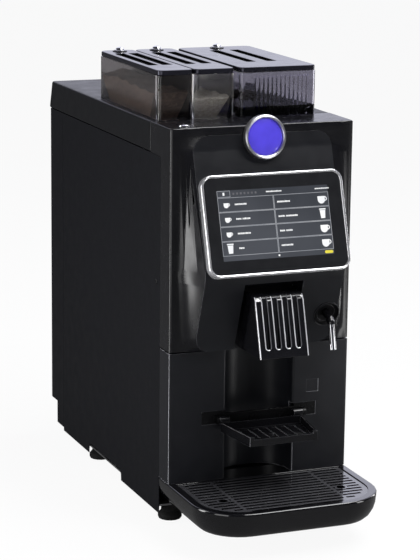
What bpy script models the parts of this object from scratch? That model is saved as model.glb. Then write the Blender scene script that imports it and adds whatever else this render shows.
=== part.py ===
"""Countertop bean-to-cup coffee machine as an assembly of separate pieces.

Metres, +Z up, front faces -Y. The origin is on the floor, at the middle of the footprint.
"""
import math

import bmesh
import bpy
from mathutils import Matrix, Vector

MM = 0.001

# Driving dimensions of the whole machine
WIDTH = 300 * MM
BODY_DEPTH = 590 * MM
TRAY_REACH = 172 * MM
DOOR_TOP = 630 * MM
LID_TOP = 707 * MM
CLEAR = 0.3 * MM
WELD = 0.001 * MM
SEAM = 2.5 * MM

# Cabinet levels and sheet sizes
PANEL_BOTTOM = 19 * MM
FLOOR_LEVEL = 30 * MM
LOWER_BOTTOM = 78.7 * MM
DOOR_BOTTOM = 287.5 * MM
CAP_SEAM = 582.5 * MM
SHEET = 1.5 * MM
BASE_SHEET = 3 * MM
SHELL = 3 * MM
SIDE_START = 41.5 * MM
SIDE_END = 515 * MM

# Feet
FOOT_RADIUS = 19 * MM
FOOT_INSET = 30 * MM
FOOT_FRONT = 70 * MM
FOOT_REAR = 404 * MM

# Side panel arch
ARCH_START = 216 * MM
ARCH_END = 378 * MM
ARCH_HEIGHT = 18 * MM
ARCH_ROUND = 12 * MM

# Rear and top covers
REAR_ROUND = 10 * MM
REAR_LIFT = 6 * MM
REAR_STEP_DEPTH = 551 * MM
REAR_STEP_LEVEL = 64 * MM
VENT_ROWS = 8
VENT_PITCH = 12 * MM
VENT_HEIGHT = 4 * MM
VENT_WIDTH = 90 * MM
VENT_SPREAD = 56 * MM
VENT_LEVEL = 380 * MM
CAP_REAR_SLOPE = 15 * MM
CAP_ROUND = 3 * MM

# Door
WING_DEPTH = 86.3 * MM
WING_GAP = 1.2 * MM
HINGE_INSET = 6.5 * MM
HINGE_GAP = 1.8 * MM
HINGE_NOTCH = 1 * MM
HINGE_ARM = 5 * MM
HINGE_LIP = 0.6 * MM
HINGE_TAB_START = 6 * MM
HINGE_TAB_END = 25 * MM
HINGE_ROD_END = 2 * MM
HINGE_ROD_RADIUS = 2.5 * MM
HINGE_BELOW = 16 * MM
HINGE_UNDER_CAP = 20 * MM
DOOR_EDGE = 1.5 * MM
REAR_SEAM = 0.5 * MM
LEDGE = 0.4 * MM
CHEEK_STEPS = 5
HOLLOW_STEPS = 4
RIM_ROUND = 5 * MM
RIM_WIDTH = 9 * MM
PANEL_MARGIN = 36 * MM
PANEL_TOP = 617 * MM
PANEL_ROUND = 25 * MM
PANEL_SHEET = 3 * MM
PANEL_BEND_TOP = 597 * MM
PANEL_TOP_DEPTH = 3 * MM
CHEEK_SET_BACK = 0.4 * MM
NOSE_LEVEL = 418 * MM
NOSE_LOW = 396 * MM
PANEL_FOOT_DEPTH = -10.5 * MM
SCREEN_TILT = math.radians(17.9)
NOSE_TURN = 0.2
POCKET_HALF = 48.5 * MM
POCKET_TOP = 397 * MM
POCKET_DEPTH = -8 * MM

# Display
BEZEL_WIDTH = 230 * MM
BEZEL_HEIGHT = 143 * MM
BEZEL_ROUND = 16 * MM
BEZEL_RIM = 6 * MM
BEZEL_DEPTH = 8 * MM
BEZEL_EDGE = 2 * MM
SCREEN_CENTRE = 488 * MM
SCREEN_PROUD = 14 * MM
GLASS_SET_BACK = 1 * MM
HOUSING_INSET = 4 * MM

# Badge
BADGE_RADIUS = 34 * MM
BADGE_INNER = 28.5 * MM
BADGE_THICK = 10 * MM
BADGE_FOOT = 1 * MM
BADGE_LEVEL = 613 * MM
BADGE_TILT = math.radians(8)

# Locks
LOCK_RADIUS = 9 * MM
LOCK_HEAD = 3.5 * MM
LOCK_STEM = 5 * MM
LOCK_TAIL = 6 * MM
SLIT_HALF = 0.8 * MM
SLIT_REACH = 4 * MM
DOOR_LOCK_MARGIN = 29 * MM
DOOR_LOCK_DEPTH = 21 * MM

# Coffee spout hood
HOOD_HALF = 40.5 * MM
HOOD_TOP = 383 * MM
HOOD_BOTTOM = 290 * MM
HOOD_TOP_REACH = -71 * MM
HOOD_LOW_REACH = -94 * MM
HOOD_ROUND = 16 * MM
HOOD_WALL = 4 * MM
HOOD_FRONT_WALL = 9 * MM
HOOD_SLOTS = 4
HOOD_SLOT_WIDTH = 9 * MM
HOOD_SLOT_PITCH = 16.5 * MM
HOOD_SLOT_DEPTH = 6 * MM
HOOD_SLOT_FOOT = 303 * MM
HOOD_SLOT_OUT = 20 * MM
HOOD_EDGE = 1.5 * MM
OUTLET_SPREAD = 14 * MM
OUTLET_RADIUS = 5 * MM
OUTLET_BORE = 3 * MM
OUTLET_LIFT = 6 * MM
OUTLET_ROOT = 2 * MM
OUTLET_STOP = 6 * MM

# Hot-water outlet
NOZZLE_MARGIN = 52 * MM
NOZZLE_LEVEL = 336 * MM
DISH_RADIUS = 21.5 * MM
DISH_DEPTH = 5 * MM
DISH_WALL = 2.5 * MM
DISH_LIP = 1 * MM
ELBOW_RADIUS = 6 * MM
ELBOW_REACH = 17 * MM
ELBOW_DROP = 4 * MM
ELBOW_TAIL = 2 * MM
TUBE_RADIUS = 5.25 * MM
TUBE_BORE = 4 * MM
TUBE_LENGTH = 39 * MM
TUBE_LEAN = math.radians(14)

# Lower front panel
CHANNEL_HALF = 60 * MM
CHANNEL_DEPTH = 58 * MM
CHANNEL_ROUND = 46 * MM
CHANNEL_EDGE = 4 * MM
LOWER_EDGE = 4 * MM
RECESS_MARGIN = 60 * MM
RECESS_LEVEL = 215 * MM
RECESS_HALF = 10 * MM
RECESS_DEPTH = 0.8 * MM

# Cup shelf
SHELF_AXIS_DEPTH = -8 * MM
SHELF_AXIS_LEVEL = 176 * MM
SHELF_BOTTOM = 157 * MM
SHELF_TOP = 172 * MM
SHELF_REACH = -97 * MM
SHELF_REAR_HALF = 68 * MM
SHELF_FRONT_HALF = 56 * MM
SHELF_WALL = 3.5 * MM
SHELF_FLOOR = 3.5 * MM
SHELF_RIBS = 7
SHELF_RIB_DEPTH = 1.2 * MM
KNUCKLE_RADIUS = 6 * MM
KNUCKLE_LENGTH = 16 * MM
WEB_INSET = 3 * MM
WEB_LIFT = 2 * MM
SHELF_SETBACK = 2 * MM
SHELF_EDGE = 1.2 * MM
SHELF_LIP = 4 * MM
PIN_RADIUS = 2.5 * MM
EAR_WIDTH = 5 * MM
EAR_GAP = 2 * MM
PIN_REACH = 10 * MM
DRAIN_RADIUS = 5 * MM
BRACKET_FRONT = 1 * MM
BRACKET_BACK = 6 * MM
BRACKET_STEP = 6 * MM
SLOT_HALF_OUT = 96 * MM
SLOT_LOW = 168 * MM
SLOT_HIGH = 189 * MM

# Drip tray
TRAY_TOP = LOWER_BOTTOM - CLEAR
TRAY_BOTTOM = 36 * MM
TRAY_REAR = 41 * MM
TRAY_CORNER = 75 * MM
TRAY_EDGE = 3 * MM
TRAY_BAND = 1.5 * MM
TRAY_TUCK = 22 * MM
TRAY_STEPS = 5
TRAY_RIM = 13 * MM
TRAY_FLOOR = 4 * MM
TRAY_LEDGE = 4 * MM
GRILLE_SHEET = 4 * MM
GRILLE_REAR = -4 * MM
GRILLE_DROP = 1.5 * MM
GRILLE_ROWS = 13
GRILLE_SLOT = 5.5 * MM
GRILLE_FIRST = -10 * MM
GRILLE_PITCH = 11.8 * MM
GRILLE_SPLIT_MARGIN = 70 * MM
GRILLE_BAR = 5 * MM
GRILLE_EDGE = 4 * MM
FINGER_RADIUS = 7 * MM
FINGER_MARGIN = 52 * MM
FINGER_RING = 3 * MM
FINGER_DEPTH = -96 * MM

# Hoppers on top
HOPPER_FRONT = 79 * MM
HOPPER_REAR = 352 * MM
HOPPER_WALL = 2.5 * MM
HOPPER_STEP = 3 * MM
HOPPER_CORNER = 8 * MM
FUNNEL_SHARE = 0.44
LID_THICK = 8 * MM
LID_ROUND = 2 * MM
LID_SLOT_WIDTH = 11 * MM
LID_SLOT_DEPTH = 4 * MM
LID_SLOT_START = 146 * MM
LID_SLOT_END = 303 * MM
LID_LOCK_DEPTH = 334 * MM
TROUGH_RADIUS = 17 * MM
TROUGH_LEVEL = 592 * MM
HOPPER_INNER_CORNER = 4 * MM
FLUTES = 13
FLUTE_STEPS = 4
FLUTE_START = 0.18
FLUTE_END = 0.91
FLUTE_STOP = 8 * MM
FLUTE_FADE = 2 * MM
FLUTE_HEIGHT = 1.6 * MM
BEAN_OUTLET = 24 * MM
BEAN_OUTLET_CORNER = 3 * MM
BEAN_OUTLET_LEVEL = 572 * MM
CANISTER_MARGIN = 10 * MM
LEFT_CANISTER = 57 * MM
MIDDLE_CANISTER = 66 * MM
CANISTER_GAP = 2 * MM
BEAN_GAP = 9 * MM
BEAN_MARGIN = 28 * MM
POWDER_OUTLET = 28 * MM
POWDER_OUTLET_RADIUS = 9 * MM

# Auger, bowl and whipper
AUGER_RADIUS = 13 * MM
AUGER_SHAFT = 4 * MM
AUGER_FLIGHT = 2 * MM
AUGER_TURNS = 4
AUGER_STEPS = 8
AUGER_END = 2 * MM
MOTOR_RADIUS = 16 * MM
MOTOR_LENGTH = 40 * MM
MOTOR_FOOT_HALF = 10 * MM
MOTOR_FOOT_END = 4 * MM
BOWL_RADIUS = 28 * MM
BOWL_HEIGHT = 60 * MM
BOWL_LEVEL = 440 * MM
BOWL_DEPTH = 120 * MM
BOWL_WALL = 2.5 * MM
BOWL_TAPER = 8 * MM
BOWL_OUTLET = 5 * MM
IMPELLER_RADIUS = 15 * MM
IMPELLER_FRONT = 3 * MM
IMPELLER_BACK = 6 * MM
VANE_HALF = 1.5 * MM
WHIPPER_SHAFT = 3 * MM
WHIPPER_TIP = 4 * MM
WHIPPER_SOCKET = 10 * MM
SOCKET_SPARE = 1 * MM
WHIPPER_RADIUS = 20 * MM
WHIPPER_LEVEL = 462 * MM

# Inner units
BULKHEAD_DEPTH = 250 * MM
BULKHEAD_TOP = 560 * MM
GRINDER_RADIUS = 40 * MM
GRINDER_BOTTOM = 470 * MM
GRINDER_FLOOR = 30 * MM
GRINDER_TAPER = 12 * MM
GRINDER_CHUTE = 6 * MM
BURR_RADIUS = 22 * MM
BURR_HEIGHT = 34 * MM
BURR_GAP = 4 * MM
BURR_FOOT = 6 * MM
BURR_TAIL = 4 * MM
BURR_GROOVES = 6
BURR_GROOVE_HALF = 1.5 * MM
BREW_RADIUS = 32 * MM
BREW_BORE = 21 * MM
BREW_BOTTOM = 300 * MM
BREW_HEIGHT = 110 * MM
BREW_FLOOR = 20 * MM
BREW_DRAIN = 8 * MM
PISTON_ROD = 8 * MM
PISTON_HEAD = 14 * MM
PISTON_RISE = 20 * MM
PISTON_STROKE = 30 * MM
BOILER_RADIUS = 46 * MM
BOILER_BOTTOM = 300 * MM
BOILER_HEIGHT = 190 * MM
BOILER_X = 70 * MM
PUMP_RADIUS = 28 * MM
PUMP_LENGTH = 120 * MM
PUMP_X = 80 * MM
PUMP_START = 330 * MM
PUMP_FOOT_END = 20 * MM
BIN_HALF = 70 * MM
BIN_FRONT = 75 * MM
BIN_REAR = 240 * MM
BIN_TOP = 215 * MM
CONTROL_WIDTH = 55 * MM
CONTROL_START = 300 * MM
CONTROL_END = 480 * MM
CONTROL_TOP = 320 * MM
CONTROL_EDGE = 4 * MM
INLET_LEVEL = 110 * MM
INLET_X = 90 * MM
INLET_HALF = 14 * MM
INLET_RISE = 24 * MM
INLET_WALL = 3 * MM
INLET_DEPTH = 26 * MM
SOCKET_DEPTH = 18 * MM
VALVE_RADIUS = 13 * MM
VALVE_BORE = 6 * MM
VALVE_REACH = 14 * MM
VALVE_DEPTH = 20 * MM

# Places worked out from the driving dimensions
HALF = WIDTH / 2
FRONT_Y = (TRAY_REACH - BODY_DEPTH) / 2
BASE_TOP = FLOOR_LEVEL + BASE_SHEET
INNER_HALF = HALF - SHEET - CLEAR
LOWER_TOP = DOOR_BOTTOM - SEAM
LID_BOTTOM = LID_TOP - LID_THICK
HOPPER_TOP = LID_BOTTOM - CLEAR
HINGE_X = HALF - HINGE_INSET
PANEL_HALF = HALF - PANEL_MARGIN
DOOR_LOCK_X = DOOR_LOCK_MARGIN - HALF
NOZZLE_X = HALF - NOZZLE_MARGIN
GRILLE_SPLIT = HALF - GRILLE_SPLIT_MARGIN
FINGER_X = HALF - FINGER_MARGIN
RECESS_X = HALF - RECESS_MARGIN
EAR_FROM = SHELF_REAR_HALF + EAR_GAP
CANISTER_LEFT = CANISTER_MARGIN - HALF
CANISTER_SPLIT = CANISTER_LEFT + LEFT_CANISTER
MIDDLE_LEFT = CANISTER_SPLIT + CANISTER_GAP
MIDDLE_RIGHT = MIDDLE_LEFT + MIDDLE_CANISTER
CANISTERS = {"left": (CANISTER_LEFT, CANISTER_SPLIT), "middle": (MIDDLE_LEFT, MIDDLE_RIGHT)}
BEAN_LEFT = MIDDLE_RIGHT + BEAN_GAP
BEAN_RIGHT = HALF - BEAN_MARGIN
HINGE_DEPTH = SIDE_START - HINGE_INSET - HINGE_GAP
NOSE_DEPTH = PANEL_TOP_DEPTH - (PANEL_BEND_TOP - NOSE_LEVEL) * math.tan(SCREEN_TILT)
NOSE_LOW_DEPTH = NOSE_DEPTH + (NOSE_LEVEL - NOSE_LOW) * NOSE_TURN
UNDER_TILT = math.atan2(PANEL_FOOT_DEPTH - NOSE_LOW_DEPTH, NOSE_LOW - DOOR_BOTTOM)
CAP_FRONT = WING_DEPTH + WING_GAP
WELL_FRONT = CAP_FRONT + 2 * SHELL
BADGE_BACK = PANEL_TOP_DEPTH + CHEEK_SET_BACK - CLEAR - (DOOR_TOP - BADGE_LEVEL) * math.tan(BADGE_TILT)
BADGE_DEPTH = BADGE_BACK - BADGE_THICK / math.cos(BADGE_TILT)
HINGE_BRACKET_LEVELS = {"lower": LOWER_TOP - HINGE_BELOW, "upper": CAP_SEAM - HINGE_UNDER_CAP}


def deep(depth):
    """World Y of a point this far behind the front plane."""
    return FRONT_Y + depth


def clear_scene():
    for obj in list(bpy.data.objects):
        bpy.data.objects.remove(obj, do_unlink=True)


def collection(name):
    group = bpy.data.collections.new(name)
    bpy.context.scene.collection.children.link(group)
    return group


clear_scene()
PARTS = collection("coffee_machine")
CUTTERS = collection("cutters")


def material(name, colour, roughness, metallic=0.0):
    mat = bpy.data.materials.new(name)
    mat.use_nodes = True
    shader = mat.node_tree.nodes["Principled BSDF"]
    shader.inputs["Base Color"].default_value = (*colour, 1.0)
    shader.inputs["Roughness"].default_value = roughness
    shader.inputs["Metallic"].default_value = metallic
    return mat


SATIN = material("satin_black", (0.016, 0.017, 0.019), 0.45)
GLOSS = material("gloss_black", (0.008, 0.008, 0.009), 0.12)
MATTE = material("matte_black", (0.012, 0.012, 0.013), 0.6)
CHROME = material("chrome", (0.8, 0.8, 0.82), 0.08, 1.0)
STEEL = material("steel", (0.55, 0.55, 0.56), 0.35, 1.0)
BLUE = material("badge_blue", (0.06, 0.045, 0.68), 0.25)
GLASS = material("screen_black", (0.005, 0.005, 0.006), 0.05)
SMOKE = material("smoked_clear", (0.10, 0.09, 0.085), 0.1)
RUBBER = material("rubber", (0.01, 0.01, 0.01), 0.75)
WHITE = material("white_plastic", (0.7, 0.7, 0.68), 0.4)


def place(bm, name, mat, group=PARTS):
    """Make an object from a bmesh with its faces pointing out."""
    bmesh.ops.recalc_face_normals(bm, faces=bm.faces)
    mesh = bpy.data.meshes.new(name)
    bm.to_mesh(mesh)
    bm.free()
    mesh.shade_smooth()
    mesh.set_sharp_from_angle(angle=math.radians(35))
    obj = bpy.data.objects.new(name, mesh)
    if mat:
        mesh.materials.append(mat)
    group.objects.link(obj)
    if group is CUTTERS:
        obj.hide_render = True
        obj.display_type = "WIRE"
    return obj


def bevel(obj, width, segments=2, angle=40):
    mod = obj.modifiers.new("Bevel", "BEVEL")
    mod.width = width
    mod.segments = segments
    mod.limit_method = "ANGLE"
    mod.angle_limit = math.radians(angle)
    return obj


def boolean(obj, tool, operation):
    mod = obj.modifiers.new(operation.title(), "BOOLEAN")
    mod.operation = operation
    mod.solver = "EXACT"
    mod.object = tool
    return obj


def cut(obj, *tools):
    for tool in tools:
        boolean(obj, tool, "DIFFERENCE")
    return obj


def join(obj, *tools):
    for tool in tools:
        boolean(obj, tool, "UNION")
    return obj


def block(name, low, high, mat=None, group=PARTS):
    """Box from its low and high corners."""
    size = [b - a for a, b in zip(low, high)]
    middle = [(a + b) / 2 for a, b in zip(low, high)]
    bm = bmesh.new()
    bmesh.ops.create_cube(bm, size=1, matrix=Matrix.Translation(middle) @ Matrix.Diagonal((*size, 1)))
    return place(bm, name, mat, group)


def tool_block(name, low, high):
    return block(name, low, high, None, CUTTERS)


def blocks(name, corners):
    """One cutter made of several separate boxes."""
    bm = bmesh.new()
    for low, high in corners:
        size = [b - a for a, b in zip(low, high)]
        middle = [(a + b) / 2 for a, b in zip(low, high)]
        bmesh.ops.create_cube(bm, size=1, matrix=Matrix.Translation(middle) @ Matrix.Diagonal((*size, 1)))
    return place(bm, name, None, CUTTERS)


def rod(name, start, end, radius, mat=None, sides=24, group=PARTS):
    """Round bar between two points."""
    axis = Vector(end) - Vector(start)
    turn = Vector((0, 0, 1)).rotation_difference(axis).to_matrix().to_4x4()
    bm = bmesh.new()
    middle = Matrix.Translation((Vector(start) + Vector(end)) / 2)
    bmesh.ops.create_cone(bm, cap_ends=True, segments=sides, radius1=radius, radius2=radius,
                          depth=axis.length, matrix=middle @ turn)
    return place(bm, name, mat, group)


def tool_rod(name, start, end, radius, sides=24):
    return rod(name, start, end, radius, None, sides, CUTTERS)


def turned(name, profile, mat, steps=32, group=PARTS):
    """Solid turned about local Z from (radius, height) points, outer side top to bottom."""
    bm = bmesh.new()
    points = [bm.verts.new((radius, 0, height)) for radius, height in profile]
    for first, second in zip(points, points[1:]):
        bm.edges.new((first, second))
    mesh = bpy.data.meshes.new(name)
    bm.to_mesh(mesh)
    bm.free()
    obj = bpy.data.objects.new(name, mesh)
    if mat:
        mesh.materials.append(mat)
    group.objects.link(obj)
    mod = obj.modifiers.new("Screw", "SCREW")
    mod.steps = steps
    mod.render_steps = steps
    mod.use_merge_vertices = True
    mod.merge_threshold = WELD
    mod.use_smooth_shade = True
    if group is CUTTERS:
        obj.hide_render = True
        obj.display_type = "WIRE"
    return obj


def loft(name, loops, mat=None, group=PARTS):
    """Closed solid through sections that have the same number of points."""
    bm = bmesh.new()
    rings = [[bm.verts.new(point) for point in loop] for loop in loops]
    count = len(rings[0])
    for lower, upper in zip(rings, rings[1:]):
        for i in range(count):
            j = (i + 1) % count
            bm.faces.new((lower[i], lower[j], upper[j], upper[i]))
    bm.faces.new(rings[0])
    bm.faces.new(rings[-1])
    bmesh.ops.remove_doubles(bm, verts=bm.verts, dist=WELD)
    return place(bm, name, mat, group)


AXES = {
    "X": Matrix(((0, 0, 1, 0), (1, 0, 0, 0), (0, 1, 0, 0), (0, 0, 0, 1))),
    "Y": Matrix(((1, 0, 0, 0), (0, 0, -1, 0), (0, 1, 0, 0), (0, 0, 0, 1))),
    "Z": Matrix.Identity(4),
}


def outline(name, points, axis, low, high, mat=None, group=PARTS):
    """Flat outline extruded along an axis: points are (Y, Z), (X, Z) or (X, Y)."""
    curve = bpy.data.curves.new(name, "CURVE")
    curve.dimensions = "2D"
    curve.fill_mode = "BOTH"
    curve.extrude = (high - low) / 2
    spline = curve.splines.new("POLY")
    spline.points.add(len(points) - 1)
    for target, (u, v) in zip(spline.points, points):
        target.co = (u, v, 0, 1)
    spline.use_cyclic_u = True
    shape = bpy.data.objects.new(name, curve)
    bpy.context.scene.collection.objects.link(shape)
    mesh = bpy.data.meshes.new_from_object(shape.evaluated_get(bpy.context.evaluated_depsgraph_get()))
    bpy.data.objects.remove(shape)
    bpy.data.curves.remove(curve)
    bm = bmesh.new()
    bm.from_mesh(mesh)
    bpy.data.meshes.remove(mesh)
    bmesh.ops.remove_doubles(bm, verts=bm.verts, dist=WELD)
    bmesh.ops.dissolve_limit(bm, angle_limit=math.radians(1), verts=bm.verts, edges=bm.edges)
    middle = (low + high) / 2
    shift = -middle if axis == "Y" else middle
    bm.transform(AXES[axis] @ Matrix.Translation((0, 0, shift)))
    return place(bm, name, mat, group)


def tool_outline(name, points, axis, low, high):
    return outline(name, points, axis, low, high, None, CUTTERS)


def arc(centre, radius, start, end, steps):
    """Points of an arc, angles in degrees."""
    angles = [math.radians(start + (end - start) * i / steps) for i in range(steps + 1)]
    return [(centre[0] + radius * math.cos(a), centre[1] + radius * math.sin(a)) for a in angles]


def rounded(half_u, half_v, radius, steps=4):
    """Rounded rectangle about the origin."""
    points = []
    for quarter, (su, sv) in enumerate(((1, 1), (-1, 1), (-1, -1), (1, -1))):
        centre = (su * (half_u - radius), sv * (half_v - radius))
        points += arc(centre, radius, 90 * quarter, 90 * quarter + 90, steps)
    return points


def rounded_between(low, high, radius, steps=4):
    """Rounded rectangle between two corners."""
    middle = [(a + b) / 2 for a, b in zip(low, high)]
    half = [(b - a) / 2 for a, b in zip(low, high)]
    return [(middle[0] + u, middle[1] + v) for u, v in rounded(*half, radius, steps)]


def frame_at(name, location, turn_x):
    """Empty that carries pieces modelled flat on a tilted face."""
    empty = bpy.data.objects.new(name, None)
    empty.location = location
    empty.rotation_euler = (turn_x, 0, 0)
    PARTS.objects.link(empty)
    return empty


def carry(empty, *objects):
    for obj in objects:
        obj.parent = empty


# Cabinet
def make_base():
    low = (-INNER_HALF, deep(SIDE_START + CLEAR), FLOOR_LEVEL)
    high = (INNER_HALF, deep(BODY_DEPTH - SHELL - CLEAR), BASE_TOP)
    notch_low = (-HALF, deep(REAR_STEP_DEPTH), PANEL_BOTTOM)
    notch_high = (HALF, deep(BODY_DEPTH + SHELL), REAR_STEP_LEVEL)
    plate = block("base_plate", low, high, STEEL)
    corners = []
    for sign in (-1, 1):
        ends = sorted((sign * (HALF - SHELL - CLEAR), sign * WIDTH))
        corners.append(((ends[0], deep(SIDE_END), 0), (ends[1], deep(BODY_DEPTH), REAR_STEP_LEVEL)))
    cut(plate, tool_block("base_notch", notch_low, notch_high), blocks("base_corners", corners))


def make_feet():
    top = FLOOR_LEVEL - CLEAR
    profile = [(0, top), (FOOT_RADIUS * 0.72, top), (FOOT_RADIUS * 0.75, top * 0.45),
               (FOOT_RADIUS, top * 0.25), (FOOT_RADIUS, top * 0.08), (FOOT_RADIUS * 0.93, 0), (0, 0)]
    for side, x in (("left", -1), ("right", 1)):
        for end, depth in (("front", FOOT_FRONT), ("rear", FOOT_REAR)):
            foot = turned(f"foot_{end}_{side}", profile, RUBBER, 14)
            foot.location = (x * (HALF - FOOT_INSET), deep(depth), 0)


def make_side_panels():
    top = CAP_SEAM - CLEAR
    points = [(deep(SIDE_START), PANEL_BOTTOM), (deep(ARCH_START), PANEL_BOTTOM)]
    level = PANEL_BOTTOM + ARCH_HEIGHT - ARCH_ROUND
    points += arc((deep(ARCH_START) + ARCH_ROUND, level), ARCH_ROUND, 180, 90, 4)
    points += arc((deep(ARCH_END) - ARCH_ROUND, level), ARCH_ROUND, 90, 0, 4)
    points += [(deep(ARCH_END), PANEL_BOTTOM), (deep(SIDE_END), PANEL_BOTTOM)]
    points += [(deep(SIDE_END), top), (deep(SIDE_START), top)]
    outline("left_side_panel", points, "X", -HALF, -HALF + SHEET, SATIN)
    outline("right_side_panel", points, "X", HALF - SHEET, HALF, SATIN)


def make_rear_cover():
    start = deep(SIDE_END + CLEAR)
    back = deep(BODY_DEPTH)
    corner = REAR_ROUND - SHELL
    outer = [(HALF, start)] + arc((HALF - REAR_ROUND, back - REAR_ROUND), REAR_ROUND, 0, 90, 4)
    outer += arc((REAR_ROUND - HALF, back - REAR_ROUND), REAR_ROUND, 90, 180, 4) + [(-HALF, start)]
    inner = [(SHELL - HALF, start)] + arc((REAR_ROUND - HALF, back - REAR_ROUND), corner, 180, 90, 4)
    inner += arc((HALF - REAR_ROUND, back - REAR_ROUND), corner, 90, 0, 4) + [(HALF - SHELL, start)]
    cover = outline("rear_cover", outer + inner, "Z", PANEL_BOTTOM + REAR_LIFT, CAP_SEAM - CLEAR, SATIN)
    inside = back - 2 * SHELL
    outside = back + SHELL
    step = tool_block("rear_step", (-WIDTH, deep(REAR_STEP_DEPTH), 0), (WIDTH, outside, REAR_STEP_LEVEL))
    vents = []
    for row in range(VENT_ROWS):
        level = VENT_LEVEL + row * VENT_PITCH
        for middle in (-VENT_SPREAD, VENT_SPREAD):
            low = (middle - VENT_WIDTH / 2, inside, level)
            vents.append((low, (middle + VENT_WIDTH / 2, outside, level + VENT_HEIGHT)))
    mains = tool_block("mains_hole", (-INLET_X - INLET_HALF, inside, INLET_LEVEL - INLET_RISE),
                       (-INLET_X + INLET_HALF, outside, INLET_LEVEL + INLET_RISE))
    water = tool_rod("water_hole", (INLET_X, inside, INLET_LEVEL), (INLET_X, outside, INLET_LEVEL),
                     VALVE_RADIUS)
    cut(cover, step, blocks("rear_vents", vents), mains, water)


def make_inlets():
    back = deep(BODY_DEPTH)
    half = INLET_HALF - CLEAR
    rise = INLET_RISE - CLEAR
    inlet = block("mains_inlet", (-INLET_X - half, back - INLET_DEPTH, INLET_LEVEL - rise),
                  (-INLET_X + half, back, INLET_LEVEL + rise), MATTE)
    half -= INLET_WALL
    rise -= INLET_WALL
    cut(inlet, tool_block("mains_socket", (-INLET_X - half, back - SOCKET_DEPTH, INLET_LEVEL - rise),
                          (-INLET_X + half, back + SHELL, INLET_LEVEL + rise)))
    radius = VALVE_RADIUS - CLEAR
    profile = [(VALVE_BORE, VALVE_REACH), (radius, VALVE_REACH), (radius, -VALVE_DEPTH),
               (VALVE_BORE, -VALVE_DEPTH), (VALVE_BORE, VALVE_REACH)]
    valve = turned("water_inlet", profile, STEEL, 20)
    valve.location = (INLET_X, back - VALVE_REACH, INLET_LEVEL)
    valve.rotation_euler = (-math.pi / 2, 0, 0)


def make_top_cover():
    front = deep(CAP_FRONT)
    back = deep(BODY_DEPTH)
    points = [(front, CAP_SEAM), (back, CAP_SEAM), (back - CAP_REAR_SLOPE, DOOR_TOP), (front, DOOR_TOP)]
    cap = bevel(outline("top_cover", points, "X", -HALF, HALF, SATIN), CAP_ROUND)
    hollow = [(front + SHELL, CAP_SEAM - SHELL), (back - SHELL, CAP_SEAM - SHELL),
              (back - CAP_REAR_SLOPE - SHELL, DOOR_TOP - SHELL), (front + SHELL, DOOR_TOP - SHELL)]
    cut(cap, tool_outline("cap_hollow", hollow, "X", SHELL - HALF, HALF - SHELL))
    wells = []
    inset = HOPPER_STEP - CLEAR
    for left, right in [*CANISTERS.values(), (BEAN_LEFT, BEAN_RIGHT)]:
        wells.append(((left + inset, deep(WELL_FRONT), DOOR_TOP - 4 * SHELL),
                      (right - inset, deep(HOPPER_REAR) - inset, DOOR_TOP + SHELL)))
    cut(cap, blocks("cap_wells", wells))


def make_bulkhead():
    low = (-INNER_HALF + CLEAR, deep(BULKHEAD_DEPTH), BASE_TOP + CLEAR)
    high = (INNER_HALF - CLEAR, deep(BULKHEAD_DEPTH) + SHEET, BULKHEAD_TOP)
    block("bulkhead", low, high, STEEL)


def make_lower_front():
    half = CHANNEL_HALF
    floor = CHANNEL_DEPTH
    side = [(HALF, deep(SIDE_START - REAR_SEAM))]
    side += arc((HALF - LOWER_EDGE, deep(LOWER_EDGE)), LOWER_EDGE, 0, -90, 3)
    side += arc((half, deep(CHANNEL_EDGE)), CHANNEL_EDGE, -90, -180, 3)
    side += arc((half - CHANNEL_EDGE - CHANNEL_ROUND, deep(floor - CHANNEL_ROUND)), CHANNEL_ROUND, 0, 90, 8)
    path = side + [(-x, y) for x, y in reversed(side)]
    bm = bmesh.new()
    low = [bm.verts.new((x, y, LOWER_BOTTOM)) for x, y in path]
    high = [bm.verts.new((x, y, LOWER_TOP)) for x, y in path]
    for i in range(len(path) - 1):
        bm.faces.new((low[i], low[i + 1], high[i + 1], high[i]))
    mesh = bpy.data.meshes.new("lower_front_panel")
    bm.to_mesh(mesh)
    bm.free()
    mesh.materials.append(SATIN)
    mesh.shade_smooth()
    panel = bpy.data.objects.new("lower_front_panel", mesh)
    PARTS.objects.link(panel)
    wall = panel.modifiers.new("Solidify", "SOLIDIFY")
    wall.thickness = SHELL
    wall.offset = 1
    slots = []
    for sign in (-1, 1):
        ends = sorted((sign * (half - CHANNEL_EDGE - 2 * SHELL), sign * SLOT_HALF_OUT))
        slots.append(((ends[0], deep(-SHELL), SLOT_LOW), (ends[1], deep(4 * SHELL), SLOT_HIGH)))
    recess = tool_block("panel_recess", (RECESS_X - RECESS_HALF, deep(-SHELL), RECESS_LEVEL - RECESS_HALF),
                        (RECESS_X + RECESS_HALF, deep(RECESS_DEPTH), RECESS_LEVEL + RECESS_HALF))
    cut(panel, blocks("shelf_slots", slots), recess)


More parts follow.
